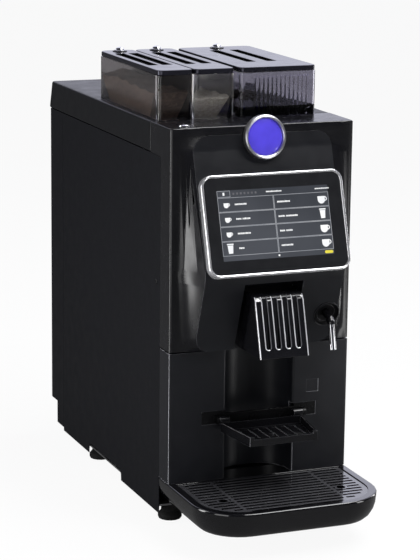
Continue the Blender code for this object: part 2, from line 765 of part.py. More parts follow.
def make_hinge():
    for end, level in HINGE_BRACKET_LEVELS.items():
        low = (HINGE_X - HINGE_ARM, deep(HINGE_DEPTH - HINGE_ARM), level)
        high = (HINGE_X + HINGE_LIP, deep(SIDE_START + HINGE_TAB_END), level + SHELL)
        bracket = block(f"hinge_bracket_{end}", low, high, STEEL)
        tab_low = (HINGE_X - HINGE_ARM / 2, deep(SIDE_START + HINGE_TAB_START), level + SHELL / 2)
        tab_high = (INNER_HALF, deep(SIDE_START + HINGE_TAB_END - SHEET), level + 4 * SHELL)
        join(bracket, tool_block(f"hinge_tab_{end}", tab_low, tab_high))
        hole = tool_rod(f"hinge_hole_{end}", (HINGE_X, deep(HINGE_DEPTH), level - SHELL),
                        (HINGE_X, deep(HINGE_DEPTH), level + 2 * SHELL), HINGE_ROD_RADIUS + CLEAR, 12)
        cut(bracket, hole)
    low = HINGE_BRACKET_LEVELS["lower"] - HINGE_ROD_END
    high = HINGE_BRACKET_LEVELS["upper"] + SHELL + HINGE_ROD_END
    rod("hinge_rod", (HINGE_X, deep(HINGE_DEPTH), low), (HINGE_X, deep(HINGE_DEPTH), high), HINGE_ROD_RADIUS,
        STEEL, 12)


# Door
def panel_depth(level):
    """Depth of the centre panel's front at a height."""
    if level >= PANEL_BEND_TOP:
        return PANEL_TOP_DEPTH
    if level >= NOSE_LEVEL:
        return PANEL_TOP_DEPTH - (PANEL_BEND_TOP - level) * math.tan(SCREEN_TILT)
    if level >= NOSE_LOW:
        share = (NOSE_LEVEL - level) / (NOSE_LEVEL - NOSE_LOW)
        return NOSE_DEPTH + (NOSE_LOW_DEPTH - NOSE_DEPTH) * share * share
    return NOSE_LOW_DEPTH + (NOSE_LOW - level) * math.tan(UNDER_TILT)


def panel_half(level):
    """Half width of the centre panel, with its rounded corners."""
    rise = max(level - (PANEL_TOP - PANEL_ROUND), DOOR_BOTTOM + PANEL_ROUND - level)
    if rise <= 0:
        return PANEL_HALF
    return PANEL_HALF - PANEL_ROUND + math.sqrt(max(PANEL_ROUND ** 2 - rise ** 2, 0))


def panel_levels():
    nose = [NOSE_LOW, NOSE_LOW + (NOSE_LEVEL - NOSE_LOW) * 0.5, NOSE_LEVEL]
    corner = [PANEL_ROUND * (1 - math.sin(math.radians(turn))) for turn in (0, 30, 55, 75, 90)]
    low = [DOOR_BOTTOM + rise for rise in corner]
    high = [PANEL_TOP - drop for drop in corner]
    return sorted({*low, *nose, PANEL_BEND_TOP, *high})


def door_section(level, back, recess, inset=0.0, steps=CHEEK_STEPS):
    """Plan outline of the door at a height; inset makes the hollow behind its skin."""
    side = HALF - inset
    rim = HALF - RIM_WIDTH
    edge = panel_half(min(level, PANEL_TOP)) + CLEAR
    front = panel_depth(min(level, PANEL_TOP)) + CHEEK_SET_BACK
    skin = front + PANEL_SHEET + CLEAR if recess else front
    pocket = max(POCKET_DEPTH, skin) if level < POCKET_TOP else skin
    pocket_half = POCKET_HALF + CLEAR + inset
    half = [(side, back)]
    half += [(x, y + inset) for x, y in arc((HALF - RIM_ROUND, RIM_ROUND), RIM_ROUND, 0, -90, 3)]
    half[1] = (side, RIM_ROUND + inset)
    half = [(min(x, side), y) for x, y in half]
    for index in range(steps + 1):
        share = index / steps
        half.append((rim + (edge - rim) * share, front * share * share + inset))
    half += [(edge, skin + inset), (pocket_half, skin + inset), (pocket_half, pocket + inset)]
    loop = half + [(-x, y) for x, y in reversed(half)]
    return [(x, deep(y), level) for x, y in loop]


def make_door():
    levels = panel_levels() + [POCKET_TOP - LEDGE, POCKET_TOP, CAP_SEAM, CAP_SEAM + LEDGE]
    rows = []
    for level in sorted(levels):
        back = WING_DEPTH if level > CAP_SEAM else SIDE_START - REAR_SEAM
        rows.append(door_section(level, back, True))
    rows.append(door_section(PANEL_TOP + CLEAR, WING_DEPTH, True))
    rows.append(door_section(PANEL_TOP + CLEAR + LEDGE, WING_DEPTH, False))
    rows.append(door_section(DOOR_TOP - DOOR_EDGE, WING_DEPTH, False))
    narrow = 1 - DOOR_EDGE / HALF
    rows.append([(x * narrow, y + DOOR_EDGE if y < deep(SIDE_START) else y, z)
                 for x, y, z in door_section(DOOR_TOP, WING_DEPTH, False)])
    door = loft("door_shell", rows, GLOSS)
    hollow = []
    shelf = POCKET_TOP + SHELL
    for level in sorted([DOOR_BOTTOM + SHELL, NOSE_LOW, NOSE_LEVEL, shelf, shelf + LEDGE, CAP_SEAM - LEDGE,
                         CAP_SEAM - LEDGE / 2, PANEL_BEND_TOP, DOOR_TOP - SHELL - DOOR_EDGE]):
        back = WING_DEPTH - SHELL if level > CAP_SEAM - LEDGE else SIDE_START + 2 * SHELL
        shape = min(level, POCKET_TOP - LEDGE) if level <= shelf else min(level, PANEL_TOP - PANEL_ROUND)
        hollow.append([(x, y, level) for x, y, z in door_section(shape, back, True, SHELL, HOLLOW_STEPS)])
    cut(door, loft("door_hollow", hollow, None, CUTTERS))
    axis = (HINGE_X, deep(HINGE_DEPTH))
    corner = tool_outline("hinge_corner", [axis, (HALF + SHELL, deep(HINGE_DEPTH)),
                                           (HALF + SHELL, deep(SIDE_START + SHELL)),
                                           (HINGE_X, deep(SIDE_START + SHELL))],
                          "Z", DOOR_BOTTOM - SHELL, CAP_SEAM + LEDGE * 2)
    cut(corner, tool_rod("hinge_round", (*axis, 0), (*axis, DOOR_TOP), HINGE_INSET - CLEAR, 32))
    bore = tool_rod("hinge_bore", (*axis, DOOR_BOTTOM - SHELL), (*axis, CAP_SEAM),
                    HINGE_ROD_RADIUS + CLEAR, 16)
    level = HINGE_BRACKET_LEVELS["upper"]
    notch = tool_rod("hinge_notch", (*axis, level - HINGE_NOTCH), (*axis, level + SHELL + HINGE_NOTCH),
                     HINGE_INSET + CLEAR, 32)
    lock = (DOOR_LOCK_X, deep(DOOR_LOCK_DEPTH))
    hole = tool_rod("door_lock_hole", (*lock, DOOR_TOP - 4 * SHELL), (*lock, DOOR_TOP + SHELL),
                    LOCK_STEM + CLEAR, 20)
    cut(door, corner, bore, notch, DISH_HOLE, hole)


def make_centre_panel():
    loops = []
    for level in panel_levels():
        half = panel_half(level)
        front = deep(panel_depth(level))
        back = front + PANEL_SHEET
        loops.append([(-half, front, level), (half, front, level), (half, back, level), (-half, back, level)])
    panel = loft("centre_panel", loops, SATIN)
    pocket = tool_block("panel_pocket", (-POCKET_HALF, deep(-WIDTH), DOOR_BOTTOM - SHELL),
                        (POCKET_HALF, deep(WIDTH), POCKET_TOP))
    cut(panel, pocket, DISH_HOLE)


def make_display():
    depth = panel_depth(SCREEN_CENTRE) - SCREEN_PROUD / math.cos(SCREEN_TILT)
    stand = frame_at("display_frame", (0, deep(depth), SCREEN_CENTRE), math.pi / 2 - SCREEN_TILT)
    half_w = BEZEL_WIDTH / 2
    half_h = BEZEL_HEIGHT / 2
    bezel = outline("screen_bezel", rounded(half_w, half_h, BEZEL_ROUND, 4), "Z", -BEZEL_DEPTH, 0, CHROME)
    bevel(bezel, BEZEL_EDGE)
    opening = rounded(half_w - BEZEL_RIM, half_h - BEZEL_RIM, BEZEL_ROUND - BEZEL_RIM, 4)
    window = tool_outline("bezel_window", opening, "Z", -2 * BEZEL_DEPTH, BEZEL_DEPTH)
    cut(bezel, window)
    gap = BEZEL_RIM + CLEAR
    glass = outline("screen_glass", rounded(half_w - gap, half_h - gap, BEZEL_ROUND - gap), "Z",
                    -BEZEL_DEPTH, -GLASS_SET_BACK, GLASS)
    housing = outline("display_housing", rounded(half_w - HOUSING_INSET, half_h - HOUSING_INSET,
                                                 BEZEL_ROUND - HOUSING_INSET, 4), "Z",
                      -SCREEN_PROUD + CLEAR, -BEZEL_DEPTH - CLEAR, MATTE)
    carry(stand, bezel, window, glass, housing)


def make_badge():
    stand = frame_at("badge_frame", (0, deep(BADGE_DEPTH), BADGE_LEVEL), math.pi / 2 - BADGE_TILT)
    width = BADGE_RADIUS - BADGE_INNER
    thick = BADGE_THICK
    profile = [(BADGE_INNER, -thick * 0.2), (BADGE_INNER + width * 0.15, -thick * 0.08),
               (BADGE_INNER + width * 0.5, 0), (BADGE_RADIUS - width * 0.15, -thick * 0.12),
               (BADGE_RADIUS, -thick * 0.4), (BADGE_RADIUS, -thick), (BADGE_INNER, -thick),
               (BADGE_INNER, -thick * 0.2)]
    ring = turned("badge_ring", profile, CHROME, 28)
    radius = BADGE_INNER - CLEAR
    foot = BADGE_FOOT - thick
    face = [(0, -thick * 0.1), (radius * 0.5, -thick * 0.13), (radius * 0.8, -thick * 0.22),
            (radius, -thick * 0.4), (radius, foot), (0, foot)]
    disc = turned("badge_disc", face, BLUE, 28)
    carry(stand, ring, disc)


def make_spout():
    lean = math.atan2(HOOD_TOP_REACH - HOOD_LOW_REACH, HOOD_TOP - HOOD_BOTTOM)
    back = POCKET_DEPTH - CLEAR
    degrees = math.degrees(lean)
    centre = (HOOD_TOP_REACH + HOOD_ROUND / math.cos(lean), HOOD_TOP - HOOD_ROUND)
    points = [(back, HOOD_BOTTOM), (back, HOOD_TOP)]
    points += arc(centre, HOOD_ROUND, 90, 180 - degrees, 5)
    points += [(HOOD_LOW_REACH, HOOD_BOTTOM)]
    points = [(deep(d), z) for d, z in points]
    hood = bevel(outline("spout_hood", points, "X", -HOOD_HALF, HOOD_HALF, GLOSS), HOOD_EDGE)
    inside = [(back - HOOD_WALL, HOOD_BOTTOM - HOOD_WALL), (back - HOOD_WALL, HOOD_TOP - HOOD_FRONT_WALL),
              (HOOD_TOP_REACH + 2 * HOOD_FRONT_WALL, HOOD_TOP - HOOD_FRONT_WALL),
              (HOOD_LOW_REACH + HOOD_FRONT_WALL, HOOD_BOTTOM - HOOD_WALL)]
    inside = [(deep(d), z) for d, z in inside]
    cut(hood, tool_outline("hood_hollow", inside, "X", HOOD_WALL - HOOD_HALF, HOOD_HALF - HOOD_WALL))
    stand = frame_at("hood_face", (0, deep(HOOD_LOW_REACH), HOOD_BOTTOM), math.pi / 2 - lean)
    foot = HOOD_SLOT_FOOT - HOOD_BOTTOM
    half = HOOD_SLOT_WIDTH / 2
    for index in range(HOOD_SLOTS):
        middle = (index - (HOOD_SLOTS - 1) / 2) * HOOD_SLOT_PITCH
        shape = arc((middle, foot + half), half, 180, 360, 6)
        shape += [(middle + half, HOOD_TOP), (middle - half, HOOD_TOP)]
        slot = tool_outline(f"hood_slot_{index}", shape, "Z", -HOOD_SLOT_DEPTH, HOOD_SLOT_OUT)
        carry(stand, slot)
        cut(hood, slot)
    for side in (-1, 1):
        x = side * OUTLET_SPREAD
        y = deep((back + HOOD_LOW_REACH) / 2)
        roof = HOOD_TOP - HOOD_FRONT_WALL
        join(hood, tool_rod(f"outlet_{side}", (x, y, HOOD_BOTTOM + OUTLET_LIFT), (x, y, roof + OUTLET_ROOT),
                            OUTLET_RADIUS, 16))
        cut(hood, tool_rod(f"outlet_bore_{side}", (x, y, HOOD_BOTTOM), (x, y, roof - OUTLET_STOP),
                           OUTLET_BORE, 12))


def nozzle_frame():
    depth = panel_depth(NOZZLE_LEVEL)
    return frame_at("nozzle_frame", (NOZZLE_X, deep(depth), NOZZLE_LEVEL), math.pi / 2 + UNDER_TILT)


def dish_hole():
    radius = DISH_RADIUS + CLEAR
    reach = DISH_RADIUS
    profile = [(0, reach), (radius, reach), (radius, -reach), (0, -reach)]
    hole = turned("dish_hole", profile, None, 32, CUTTERS)
    carry(NOZZLE, hole)
    return hole


def make_nozzle():
    hole = ELBOW_RADIUS + CLEAR
    back = DISH_DEPTH + DISH_WALL
    profile = [(hole, -DISH_DEPTH), (DISH_RADIUS * 0.55, -DISH_DEPTH * 0.85),
               (DISH_RADIUS * 0.85, -DISH_DEPTH * 0.4), (DISH_RADIUS - 1.5 * DISH_LIP, DISH_LIP),
               (DISH_RADIUS, DISH_LIP * 0.6), (DISH_RADIUS, -2 * DISH_LIP),
               (DISH_RADIUS * 0.85, -DISH_DEPTH * 0.4 - DISH_WALL),
               (DISH_RADIUS * 0.55, -DISH_DEPTH * 0.85 - DISH_WALL), (hole, -back), (hole, -DISH_DEPTH)]
    dish = turned("nozzle_dish", profile, SATIN, 20)
    carry(NOZZLE, dish)
    base = NOZZLE.location
    out = Vector((0, -math.cos(UNDER_TILT), -math.sin(UNDER_TILT)))
    down = Vector((0, -math.sin(TUBE_LEAN), -math.cos(TUBE_LEAN)))
    bend = base + out * ELBOW_REACH
    path = [base - out * (DISH_DEPTH + ELBOW_TAIL), base + out * (ELBOW_REACH * 0.45)]
    for share in (0.35, 0.7, 1.0):
        near = base + out * (ELBOW_REACH * (0.45 + 0.55 * share))
        path.append(near.lerp(bend + down * (ELBOW_DROP * share), share))
    path.append(path[-1] + down * (ELBOW_RADIUS / 2))
    curve_tube("nozzle_elbow", path, ELBOW_RADIUS, MATTE)
    foot = path[-1] + down * CLEAR
    end = foot + down * TUBE_LENGTH
    tube = rod("nozzle_tube", foot, end, TUBE_RADIUS, CHROME, 20)
    cut(tube, tool_rod("tube_bore", foot + down * (TUBE_LENGTH * 0.4), end + down * SHELL, TUBE_BORE, 16))


def curve_tube(name, path, radius, mat):
    """Round tube with flat ends along a short path."""
    curve = bpy.data.curves.new(name, "CURVE")
    curve.dimensions = "3D"
    curve.bevel_depth = radius
    curve.bevel_resolution = 3
    curve.use_fill_caps = True
    spline = curve.splines.new("POLY")
    spline.points.add(len(path) - 1)
    for target, point in zip(spline.points, path):
        target.co = (*point, 1)
    obj = bpy.data.objects.new(name, curve)
    curve.materials.append(mat)
    PARTS.objects.link(obj)
    return obj


# Cup shelf
def make_shelf_bracket():
    bar = block("shelf_bracket", (-SLOT_HALF_OUT + CLEAR, deep(BRACKET_FRONT), SLOT_LOW + CLEAR),
                (SLOT_HALF_OUT - CLEAR, deep(BRACKET_BACK), SLOT_HIGH - CLEAR), MATTE)
    reach = EAR_FROM - PIN_REACH
    window = tool_block("bracket_window", (-reach, deep(-SHELL), SLOT_HIGH - BRACKET_STEP),
                        (reach, deep(4 * SHELL), SLOT_HIGH + SHELL))
    cut(bar, window)
    axis_y = deep(SHELF_AXIS_DEPTH)
    level = SHELF_AXIS_LEVEL
    for sign in (-1, 1):
        ends = sorted((sign * (EAR_FROM + CLEAR), sign * (EAR_FROM + EAR_WIDTH)))
        arm = tool_block(f"ear_{sign}", (ends[0], axis_y, level - KNUCKLE_RADIUS),
                         (ends[1], deep((BRACKET_FRONT + BRACKET_BACK) / 2), level + KNUCKLE_RADIUS))
        tip = tool_rod(f"ear_tip_{sign}", (ends[0], axis_y, level), (ends[1], axis_y, level),
                       KNUCKLE_RADIUS, 20)
        pin = tool_rod(f"ear_pin_{sign}", (sign * reach, axis_y, level),
                       (sign * (EAR_FROM + EAR_WIDTH / 2), axis_y, level), PIN_RADIUS, 12)
        join(bar, arm, tip, pin)


def make_cup_shelf():
    rear = SHELF_AXIS_DEPTH - SHELF_SETBACK

    def plan(inset):
        back = SHELF_REAR_HALF - inset
        front = SHELF_FRONT_HALF - inset
        return [(back, deep(rear - inset)), (-back, deep(rear - inset)), (-front, deep(SHELF_REACH + inset)),
                (front, deep(SHELF_REACH + inset))]

    shelf = bevel(outline("cup_shelf", plan(0), "Z", SHELF_BOTTOM, SHELF_TOP, MATTE), SHELF_EDGE)
    floor = SHELF_BOTTOM + SHELF_FLOOR
    hollow = tool_outline("shelf_hollow", plan(SHELF_WALL), "Z", floor, SHELF_TOP + SHELL)
    post = SHELF_FRONT_HALF - 2 * SHELF_WALL
    lip = tool_block("shelf_lip", (-post, deep(SHELF_REACH - SHELL), SHELF_TOP - SHELF_LIP),
                     (post, deep(SHELF_REACH + 2 * SHELF_WALL), SHELF_TOP + SHELL))
    grooves = []
    pitch = 2 * (SHELF_FRONT_HALF - 3 * SHELF_WALL) / (SHELF_RIBS - 1)
    for index in range(SHELF_RIBS):
        x = (index - (SHELF_RIBS - 1) / 2) * pitch
        grooves.append(((x - pitch * 0.25, deep(SHELF_REACH + 3 * SHELF_WALL), floor - SHELF_RIB_DEPTH),
                        (x + pitch * 0.25, deep(rear - 3 * SHELF_WALL), floor + SHELL)))
    spot = (0, deep((rear + SHELF_REACH) / 2))
    drain = tool_rod("shelf_drain", (*spot, SHELF_BOTTOM - SHELL), (*spot, SHELF_TOP), DRAIN_RADIUS, 16)
    cut(shelf, hollow, lip, blocks("shelf_grooves", grooves), drain)
    axis_y = deep(SHELF_AXIS_DEPTH)
    level = SHELF_AXIS_LEVEL
    beyond = KNUCKLE_RADIUS * 0.3
    for sign in (-1, 1):
        inner = EAR_FROM - KNUCKLE_LENGTH
        outer = EAR_FROM - CLEAR
        knuckle = tool_rod(f"knuckle_{sign}", (sign * inner, axis_y, level), (sign * outer, axis_y, level),
                           KNUCKLE_RADIUS, 20)
        ends = sorted((sign * (inner + WEB_INSET), sign * (outer - WEB_INSET)))
        low = (ends[0], deep(rear - SHELF_WALL / 2), SHELF_BOTTOM + WEB_LIFT)
        web = tool_block(f"knuckle_web_{sign}", low, (ends[1], axis_y + beyond, level + beyond))
        join(shelf, knuckle, web)
        bore = tool_rod(f"knuckle_bore_{sign}", (sign * (EAR_FROM - PIN_REACH - 2 * CLEAR), axis_y, level),
                        (sign * (EAR_FROM + EAR_WIDTH), axis_y, level), PIN_RADIUS + CLEAR, 12)
        cut(shelf, bore)


# Drip tray
def tray_outline(inset, rear):
    radius = TRAY_CORNER - inset
    centre_x = HALF - TRAY_CORNER
    centre_y = deep(-TRAY_REACH + TRAY_CORNER)
    points = [(HALF - inset, deep(rear)), (inset - HALF, deep(rear))]
    points += arc((-centre_x, centre_y), radius, 180, 270, 8)
    points += arc((centre_x, centre_y), radius, 270, 360, 8)
    return points


def make_drip_tray():
    height = TRAY_TOP - TRAY_BOTTOM
    band = TRAY_EDGE + TRAY_BAND
    rows = [(TRAY_EDGE, 0), (TRAY_EDGE * 0.3, TRAY_EDGE * 0.3), (0, TRAY_EDGE)]
    for index in range(TRAY_STEPS + 1):
        turn = math.pi / 2 * index / TRAY_STEPS
        rows.append((TRAY_TUCK * (1 - math.cos(turn)), band + (height - band) * math.sin(turn)))
    loops = [[(x, y, TRAY_TOP - drop) for x, y in tray_outline(inset, TRAY_REAR)] for inset, drop in rows]
    tray = loft("drip_tray", loops, GLOSS)
    ledge = TRAY_TOP - GRILLE_DROP - GRILLE_SHEET - CLEAR
    basin = tool_outline("tray_basin", tray_outline(TRAY_RIM + TRAY_LEDGE, GRILLE_REAR - TRAY_LEDGE), "Z",
                         TRAY_BOTTOM + TRAY_FLOOR, TRAY_TOP + SHELL)
    seat = tool_outline("tray_seat", tray_outline(TRAY_RIM, GRILLE_REAR), "Z", ledge, TRAY_TOP + SHELL)
    cut(tray, basin, seat)


def make_drip_grille():
    top = TRAY_TOP - GRILLE_DROP
    points = tray_outline(TRAY_RIM + CLEAR, GRILLE_REAR - CLEAR)
    grille = outline("drip_grille", points, "Z", top - GRILLE_SHEET, top, GLOSS)
    margin = TRAY_RIM + TRAY_LEDGE + GRILLE_EDGE
    slots = []
    for row in range(GRILLE_ROWS):
        depth = GRILLE_FIRST - row * GRILLE_PITCH
        reach = HALF - margin
        over = -depth - (TRAY_REACH - TRAY_CORNER)
        if over > 0:
            across = (TRAY_CORNER - margin) ** 2 - (over + GRILLE_SLOT) ** 2
            reach = HALF - TRAY_CORNER + math.sqrt(max(across, 0))
        split = min(GRILLE_SPLIT, reach)
        beyond = GRILLE_SPLIT + GRILLE_BAR
        for left, right in ((-reach, -beyond), (-split, split), (beyond, reach)):
            if right - left > 2 * GRILLE_SLOT:
                slots.append(((left, deep(depth - GRILLE_SLOT), top - 2 * GRILLE_SHEET),
                              (right, deep(depth), top + GRILLE_SHEET)))
    cut(grille, blocks("grille_slots", slots))
    for sign in (-1, 1):
        spot = (sign * FINGER_X, deep(FINGER_DEPTH))
        ring = tool_rod(f"finger_boss_{sign}", (*spot, top - GRILLE_SHEET), (*spot, top),
                        FINGER_RADIUS + FINGER_RING)
        hole = tool_rod(f"finger_hole_{sign}", (*spot, top - 2 * GRILLE_SHEET), (*spot, top + GRILLE_SHEET),
                        FINGER_RADIUS, 20)
        join(grille, ring)
        cut(grille, hole)


# Hoppers, lids and locks
def make_canister(side):
    left, right = CANISTERS[side]
    middle = (left + right) / 2
    half = (right - left) / 2
    low = half - HOPPER_STEP
    wide = half - HOPPER_WALL
    shoulder = DOOR_TOP + CLEAR
    knee = shoulder + (HOPPER_TOP - shoulder) * FUNNEL_SHARE
    start = deep(HOPPER_FRONT)
    neck = deep(WELL_FRONT) + CLEAR
    end = deep(HOPPER_REAR)
    shape = rounded_between((left, start), (right, end), HOPPER_CORNER)
    body = outline(f"powder_canister_{side}", shape, "Z", shoulder, HOPPER_TOP, SMOKE)
    trough = [(middle + low, shoulder + SHELL), (middle + low, DOOR_TOP - 4 * SHELL)]
    trough += arc((middle, TROUGH_LEVEL), TROUGH_RADIUS + HOPPER_WALL, 0, -180, 6)
    trough += [(middle - low, DOOR_TOP - 4 * SHELL), (middle - low, shoulder + SHELL)]
    join(body, tool_outline(f"canister_trough_{side}", trough, "Y", neck, end - HOPPER_STEP))
    inner = [(middle + wide, HOPPER_TOP + SHELL), (middle + wide, knee)]
    inner += arc((middle, TROUGH_LEVEL), TROUGH_RADIUS, 0, -180, 6)
    inner += [(middle - wide, knee), (middle - wide, HOPPER_TOP + SHELL)]
    hollow = tool_outline(f"canister_hollow_{side}", inner, "Y", neck + HOPPER_WALL,
                          end - HOPPER_STEP - HOPPER_WALL)
    cut(body, hollow)
    shaft = tool_rod(f"canister_shaft_{side}", (middle, end - 4 * HOPPER_STEP, TROUGH_LEVEL),
                     (middle, end + HOPPER_STEP, TROUGH_LEVEL), AUGER_SHAFT + CLEAR, 16)
    spot = (middle, start + POWDER_OUTLET)
    outlet = tool_rod(f"canister_outlet_{side}", (*spot, TROUGH_LEVEL - 4 * TROUGH_RADIUS),
                      (*spot, TROUGH_LEVEL), POWDER_OUTLET_RADIUS, 16)
    cut(body, shaft, outlet)
    make_auger(side, middle, neck + HOPPER_WALL + AUGER_END, end + CLEAR)


def make_auger(side, middle, start, end):
    shaft = rod(f"powder_auger_{side}", (middle, start, TROUGH_LEVEL), (middle, end, TROUGH_LEVEL),
                AUGER_SHAFT, WHITE, 10)
    steps = AUGER_STEPS * AUGER_TURNS
    length = (end - start) - 8 * HOPPER_STEP
    pitch = length / AUGER_TURNS
    loops = []
    for i in range(steps + 1):
        angle = 2 * math.pi * i / AUGER_STEPS
        along = start + 2 * HOPPER_STEP + pitch * i / AUGER_STEPS
        turn = (math.cos(angle), math.sin(angle))
        loop = []
        for radius, shift in ((AUGER_SHAFT * 0.6, 0), (AUGER_RADIUS, 0), (AUGER_RADIUS, AUGER_FLIGHT),
                              (AUGER_SHAFT * 0.6, AUGER_FLIGHT)):
            loop.append((middle + radius * turn[0], along + shift, TROUGH_LEVEL + radius * turn[1]))
        loops.append(loop)
    join(shaft, loft(f"auger_flight_{side}", loops, None, CUTTERS))


def make_auger_motor(side):
    left, right = CANISTERS[side]
    middle = (left + right) / 2
    start = deep(HOPPER_REAR) + 2 * CLEAR
    end = start + MOTOR_LENGTH
    motor = rod(f"auger_motor_{side}", (middle, start, TROUGH_LEVEL), (middle, end, TROUGH_LEVEL),
                MOTOR_RADIUS, STEEL, 16)
    foot = tool_block(f"motor_foot_{side}", (middle - MOTOR_FOOT_HALF, start + MOTOR_FOOT_END, TROUGH_LEVEL),
                      (middle + MOTOR_FOOT_HALF, end - MOTOR_FOOT_END, DOOR_TOP - SHELL - CLEAR))
    join(motor, foot)


def make_bean_hopper():
    start = deep(HOPPER_FRONT)
    neck = deep(WELL_FRONT) + CLEAR
    end = deep(HOPPER_REAR)
    shoulder = DOOR_TOP + CLEAR
    step = HOPPER_STEP
    wall = HOPPER_WALL
    middle = (BEAN_LEFT + BEAN_RIGHT) / 2
    centre = deep(BULKHEAD_DEPTH - GRINDER_RADIUS - CLEAR)
    count = FLUTES * FLUTE_STEPS

    def ring(level, low, high, corner, flute):
        """Plan section with rounded corners and a fluted front."""
        loop = arc((low[0] + corner, low[1] + corner), corner, 180, 270, 3)
        for i in range(count + 1):
            share = FLUTE_START + (FLUTE_END - FLUTE_START) * i / count
            wave = flute * (0.5 - 0.5 * math.cos(2 * math.pi * i / FLUTE_STEPS))
            loop.append((low[0] + (high[0] - low[0]) * share, low[1] + wave))
        loop += arc((high[0] - corner, low[1] + corner), corner, 270, 360, 3)
        loop += arc((high[0] - corner, high[1] - corner), corner, 0, 90, 3)
        loop += arc((low[0] + corner, high[1] - corner), corner, 90, 180, 3)
        return [(x, y, level) for x, y in loop]

    def around(half):
        return (middle - half, centre - half), (middle + half, centre + half)

    outer = ((BEAN_LEFT, start), (BEAN_RIGHT, end))
    sunk = ((BEAN_LEFT + step, neck), (BEAN_RIGHT - step, end - step))
    sunk_corner = HOPPER_CORNER - step
    rows = [ring(BEAN_OUTLET_LEVEL, *around(BEAN_OUTLET), BEAN_OUTLET_CORNER, 0),
            ring(DOOR_TOP - 4 * SHELL, *sunk, sunk_corner, 0),
            ring(shoulder - CLEAR / 2, *sunk, sunk_corner, 0),
            ring(shoulder, *outer, HOPPER_CORNER, FLUTE_HEIGHT),
            ring(HOPPER_TOP - FLUTE_STOP, *outer, HOPPER_CORNER, FLUTE_HEIGHT),
            ring(HOPPER_TOP - FLUTE_STOP + FLUTE_FADE, *outer, HOPPER_CORNER, 0),
            ring(HOPPER_TOP, *outer, HOPPER_CORNER, 0)]
    hopper = loft("bean_hopper", rows, SMOKE)

    def inside(level, low, high, corner):
        return [(x, y, level) for x, y in rounded_between(low, high, corner, 3)]

    outlet = around(BEAN_OUTLET - wall)
    inset = 2 * wall
    room = ((BEAN_LEFT + wall, start + inset), (BEAN_RIGHT - wall, end - wall))
    funnel = ((BEAN_LEFT + inset + step, neck + inset), (BEAN_RIGHT - inset - step, end - inset - step))
    hollow = [inside(BEAN_OUTLET_LEVEL - SHELL, *outlet, BEAN_OUTLET_CORNER),
              inside(BEAN_OUTLET_LEVEL + SHELL, *outlet, BEAN_OUTLET_CORNER),
              inside(DOOR_TOP + 2 * SHELL, *funnel, BEAN_OUTLET_CORNER),
              inside(DOOR_TOP + 5 * SHELL, *room, HOPPER_INNER_CORNER),
              inside(HOPPER_TOP + SHELL, *room, HOPPER_INNER_CORNER)]
    cut(hopper, loft("bean_hollow", hollow, None, CUTTERS))


def make_lid(side, left, right):
    middle = (left + right) / 2
    shape = rounded_between((left, deep(HOPPER_FRONT)), (right, deep(HOPPER_REAR)), HOPPER_CORNER)
    lid = bevel(outline(f"lid_{side}", shape, "Z", LID_BOTTOM, LID_TOP, GLOSS), LID_ROUND, 1)
    spread = (right - left) * 0.2
    slots = []
    for x in (middle - spread, middle + spread):
        slots.append(((x - LID_SLOT_WIDTH / 2, deep(LID_SLOT_START), LID_TOP - LID_SLOT_DEPTH),
                      (x + LID_SLOT_WIDTH / 2, deep(LID_SLOT_END), LID_TOP + SHELL)))
    spot = (middle, deep(LID_LOCK_DEPTH))
    hole = tool_rod(f"lid_hole_{side}", (*spot, LID_BOTTOM - SHELL), (*spot, LID_TOP + SHELL),
                    LOCK_STEM + CLEAR, 20)
    cut(lid, blocks(f"lid_slots_{side}", slots), hole)
    make_lock(f"lid_lock_{side}", (*spot, LID_TOP + CLEAR), LID_THICK + LOCK_TAIL)


def make_lock(name, place_at, length):
    profile = [(0, LOCK_HEAD), (LOCK_RADIUS * 0.7, LOCK_HEAD * 0.9), (LOCK_RADIUS * 0.95, LOCK_HEAD * 0.55),
               (LOCK_RADIUS, 0), (LOCK_STEM, 0), (LOCK_STEM, -length), (0, -length)]
    lock = turned(name, profile, CHROME, 14)
    slit = tool_block(f"{name}_slit", (-SLIT_HALF, -SLIT_REACH, LOCK_HEAD * 0.3),
                      (SLIT_HALF, SLIT_REACH, 2 * LOCK_HEAD))
    slit.parent = lock
    cut(lock, slit)
    lock.location = place_at


# Inner units
def make_grinder():
    place_at = ((BEAN_LEFT + BEAN_RIGHT) / 2, deep(BULKHEAD_DEPTH - GRINDER_RADIUS - CLEAR), 0)
    top = BEAN_OUTLET_LEVEL - CLEAR
    bore = BURR_RADIUS + BURR_GAP
    floor = GRINDER_BOTTOM + GRINDER_FLOOR
    profile = [(bore, top), (GRINDER_RADIUS, top), (GRINDER_RADIUS, GRINDER_BOTTOM + GRINDER_TAPER),
               (GRINDER_RADIUS - GRINDER_TAPER, GRINDER_BOTTOM), (GRINDER_CHUTE, GRINDER_BOTTOM),
               (GRINDER_CHUTE, floor), (bore, floor), (bore, top)]
    body = turned("grinder_body", profile, MATTE, 16)
    body.location = place_at
    low = floor + CLEAR
    shaft = GRINDER_CHUTE - CLEAR
    tail = GRINDER_BOTTOM + BURR_TAIL
    top = low + BURR_HEIGHT
    profile = [(0, top), (BURR_RADIUS * 0.45, top), (BURR_RADIUS, low + BURR_FOOT), (BURR_RADIUS, low),
               (shaft, low), (shaft, tail), (0, tail)]
    burr = turned("grinder_burr", profile, STEEL, 16)
    burr.location = place_at
    for index in range(BURR_GROOVES):
        start = (BURR_RADIUS * 0.35, -BURR_GROOVE_HALF, low + BURR_FOOT * 0.8)
        end = (BURR_RADIUS * 1.5, BURR_GROOVE_HALF, low + BURR_HEIGHT * 1.2)
        groove = tool_block(f"burr_groove_{index}", start, end)
        groove.rotation_euler = (0, 0, index * 2 * math.pi / BURR_GROOVES)
        groove.parent = burr
        cut(burr, groove)


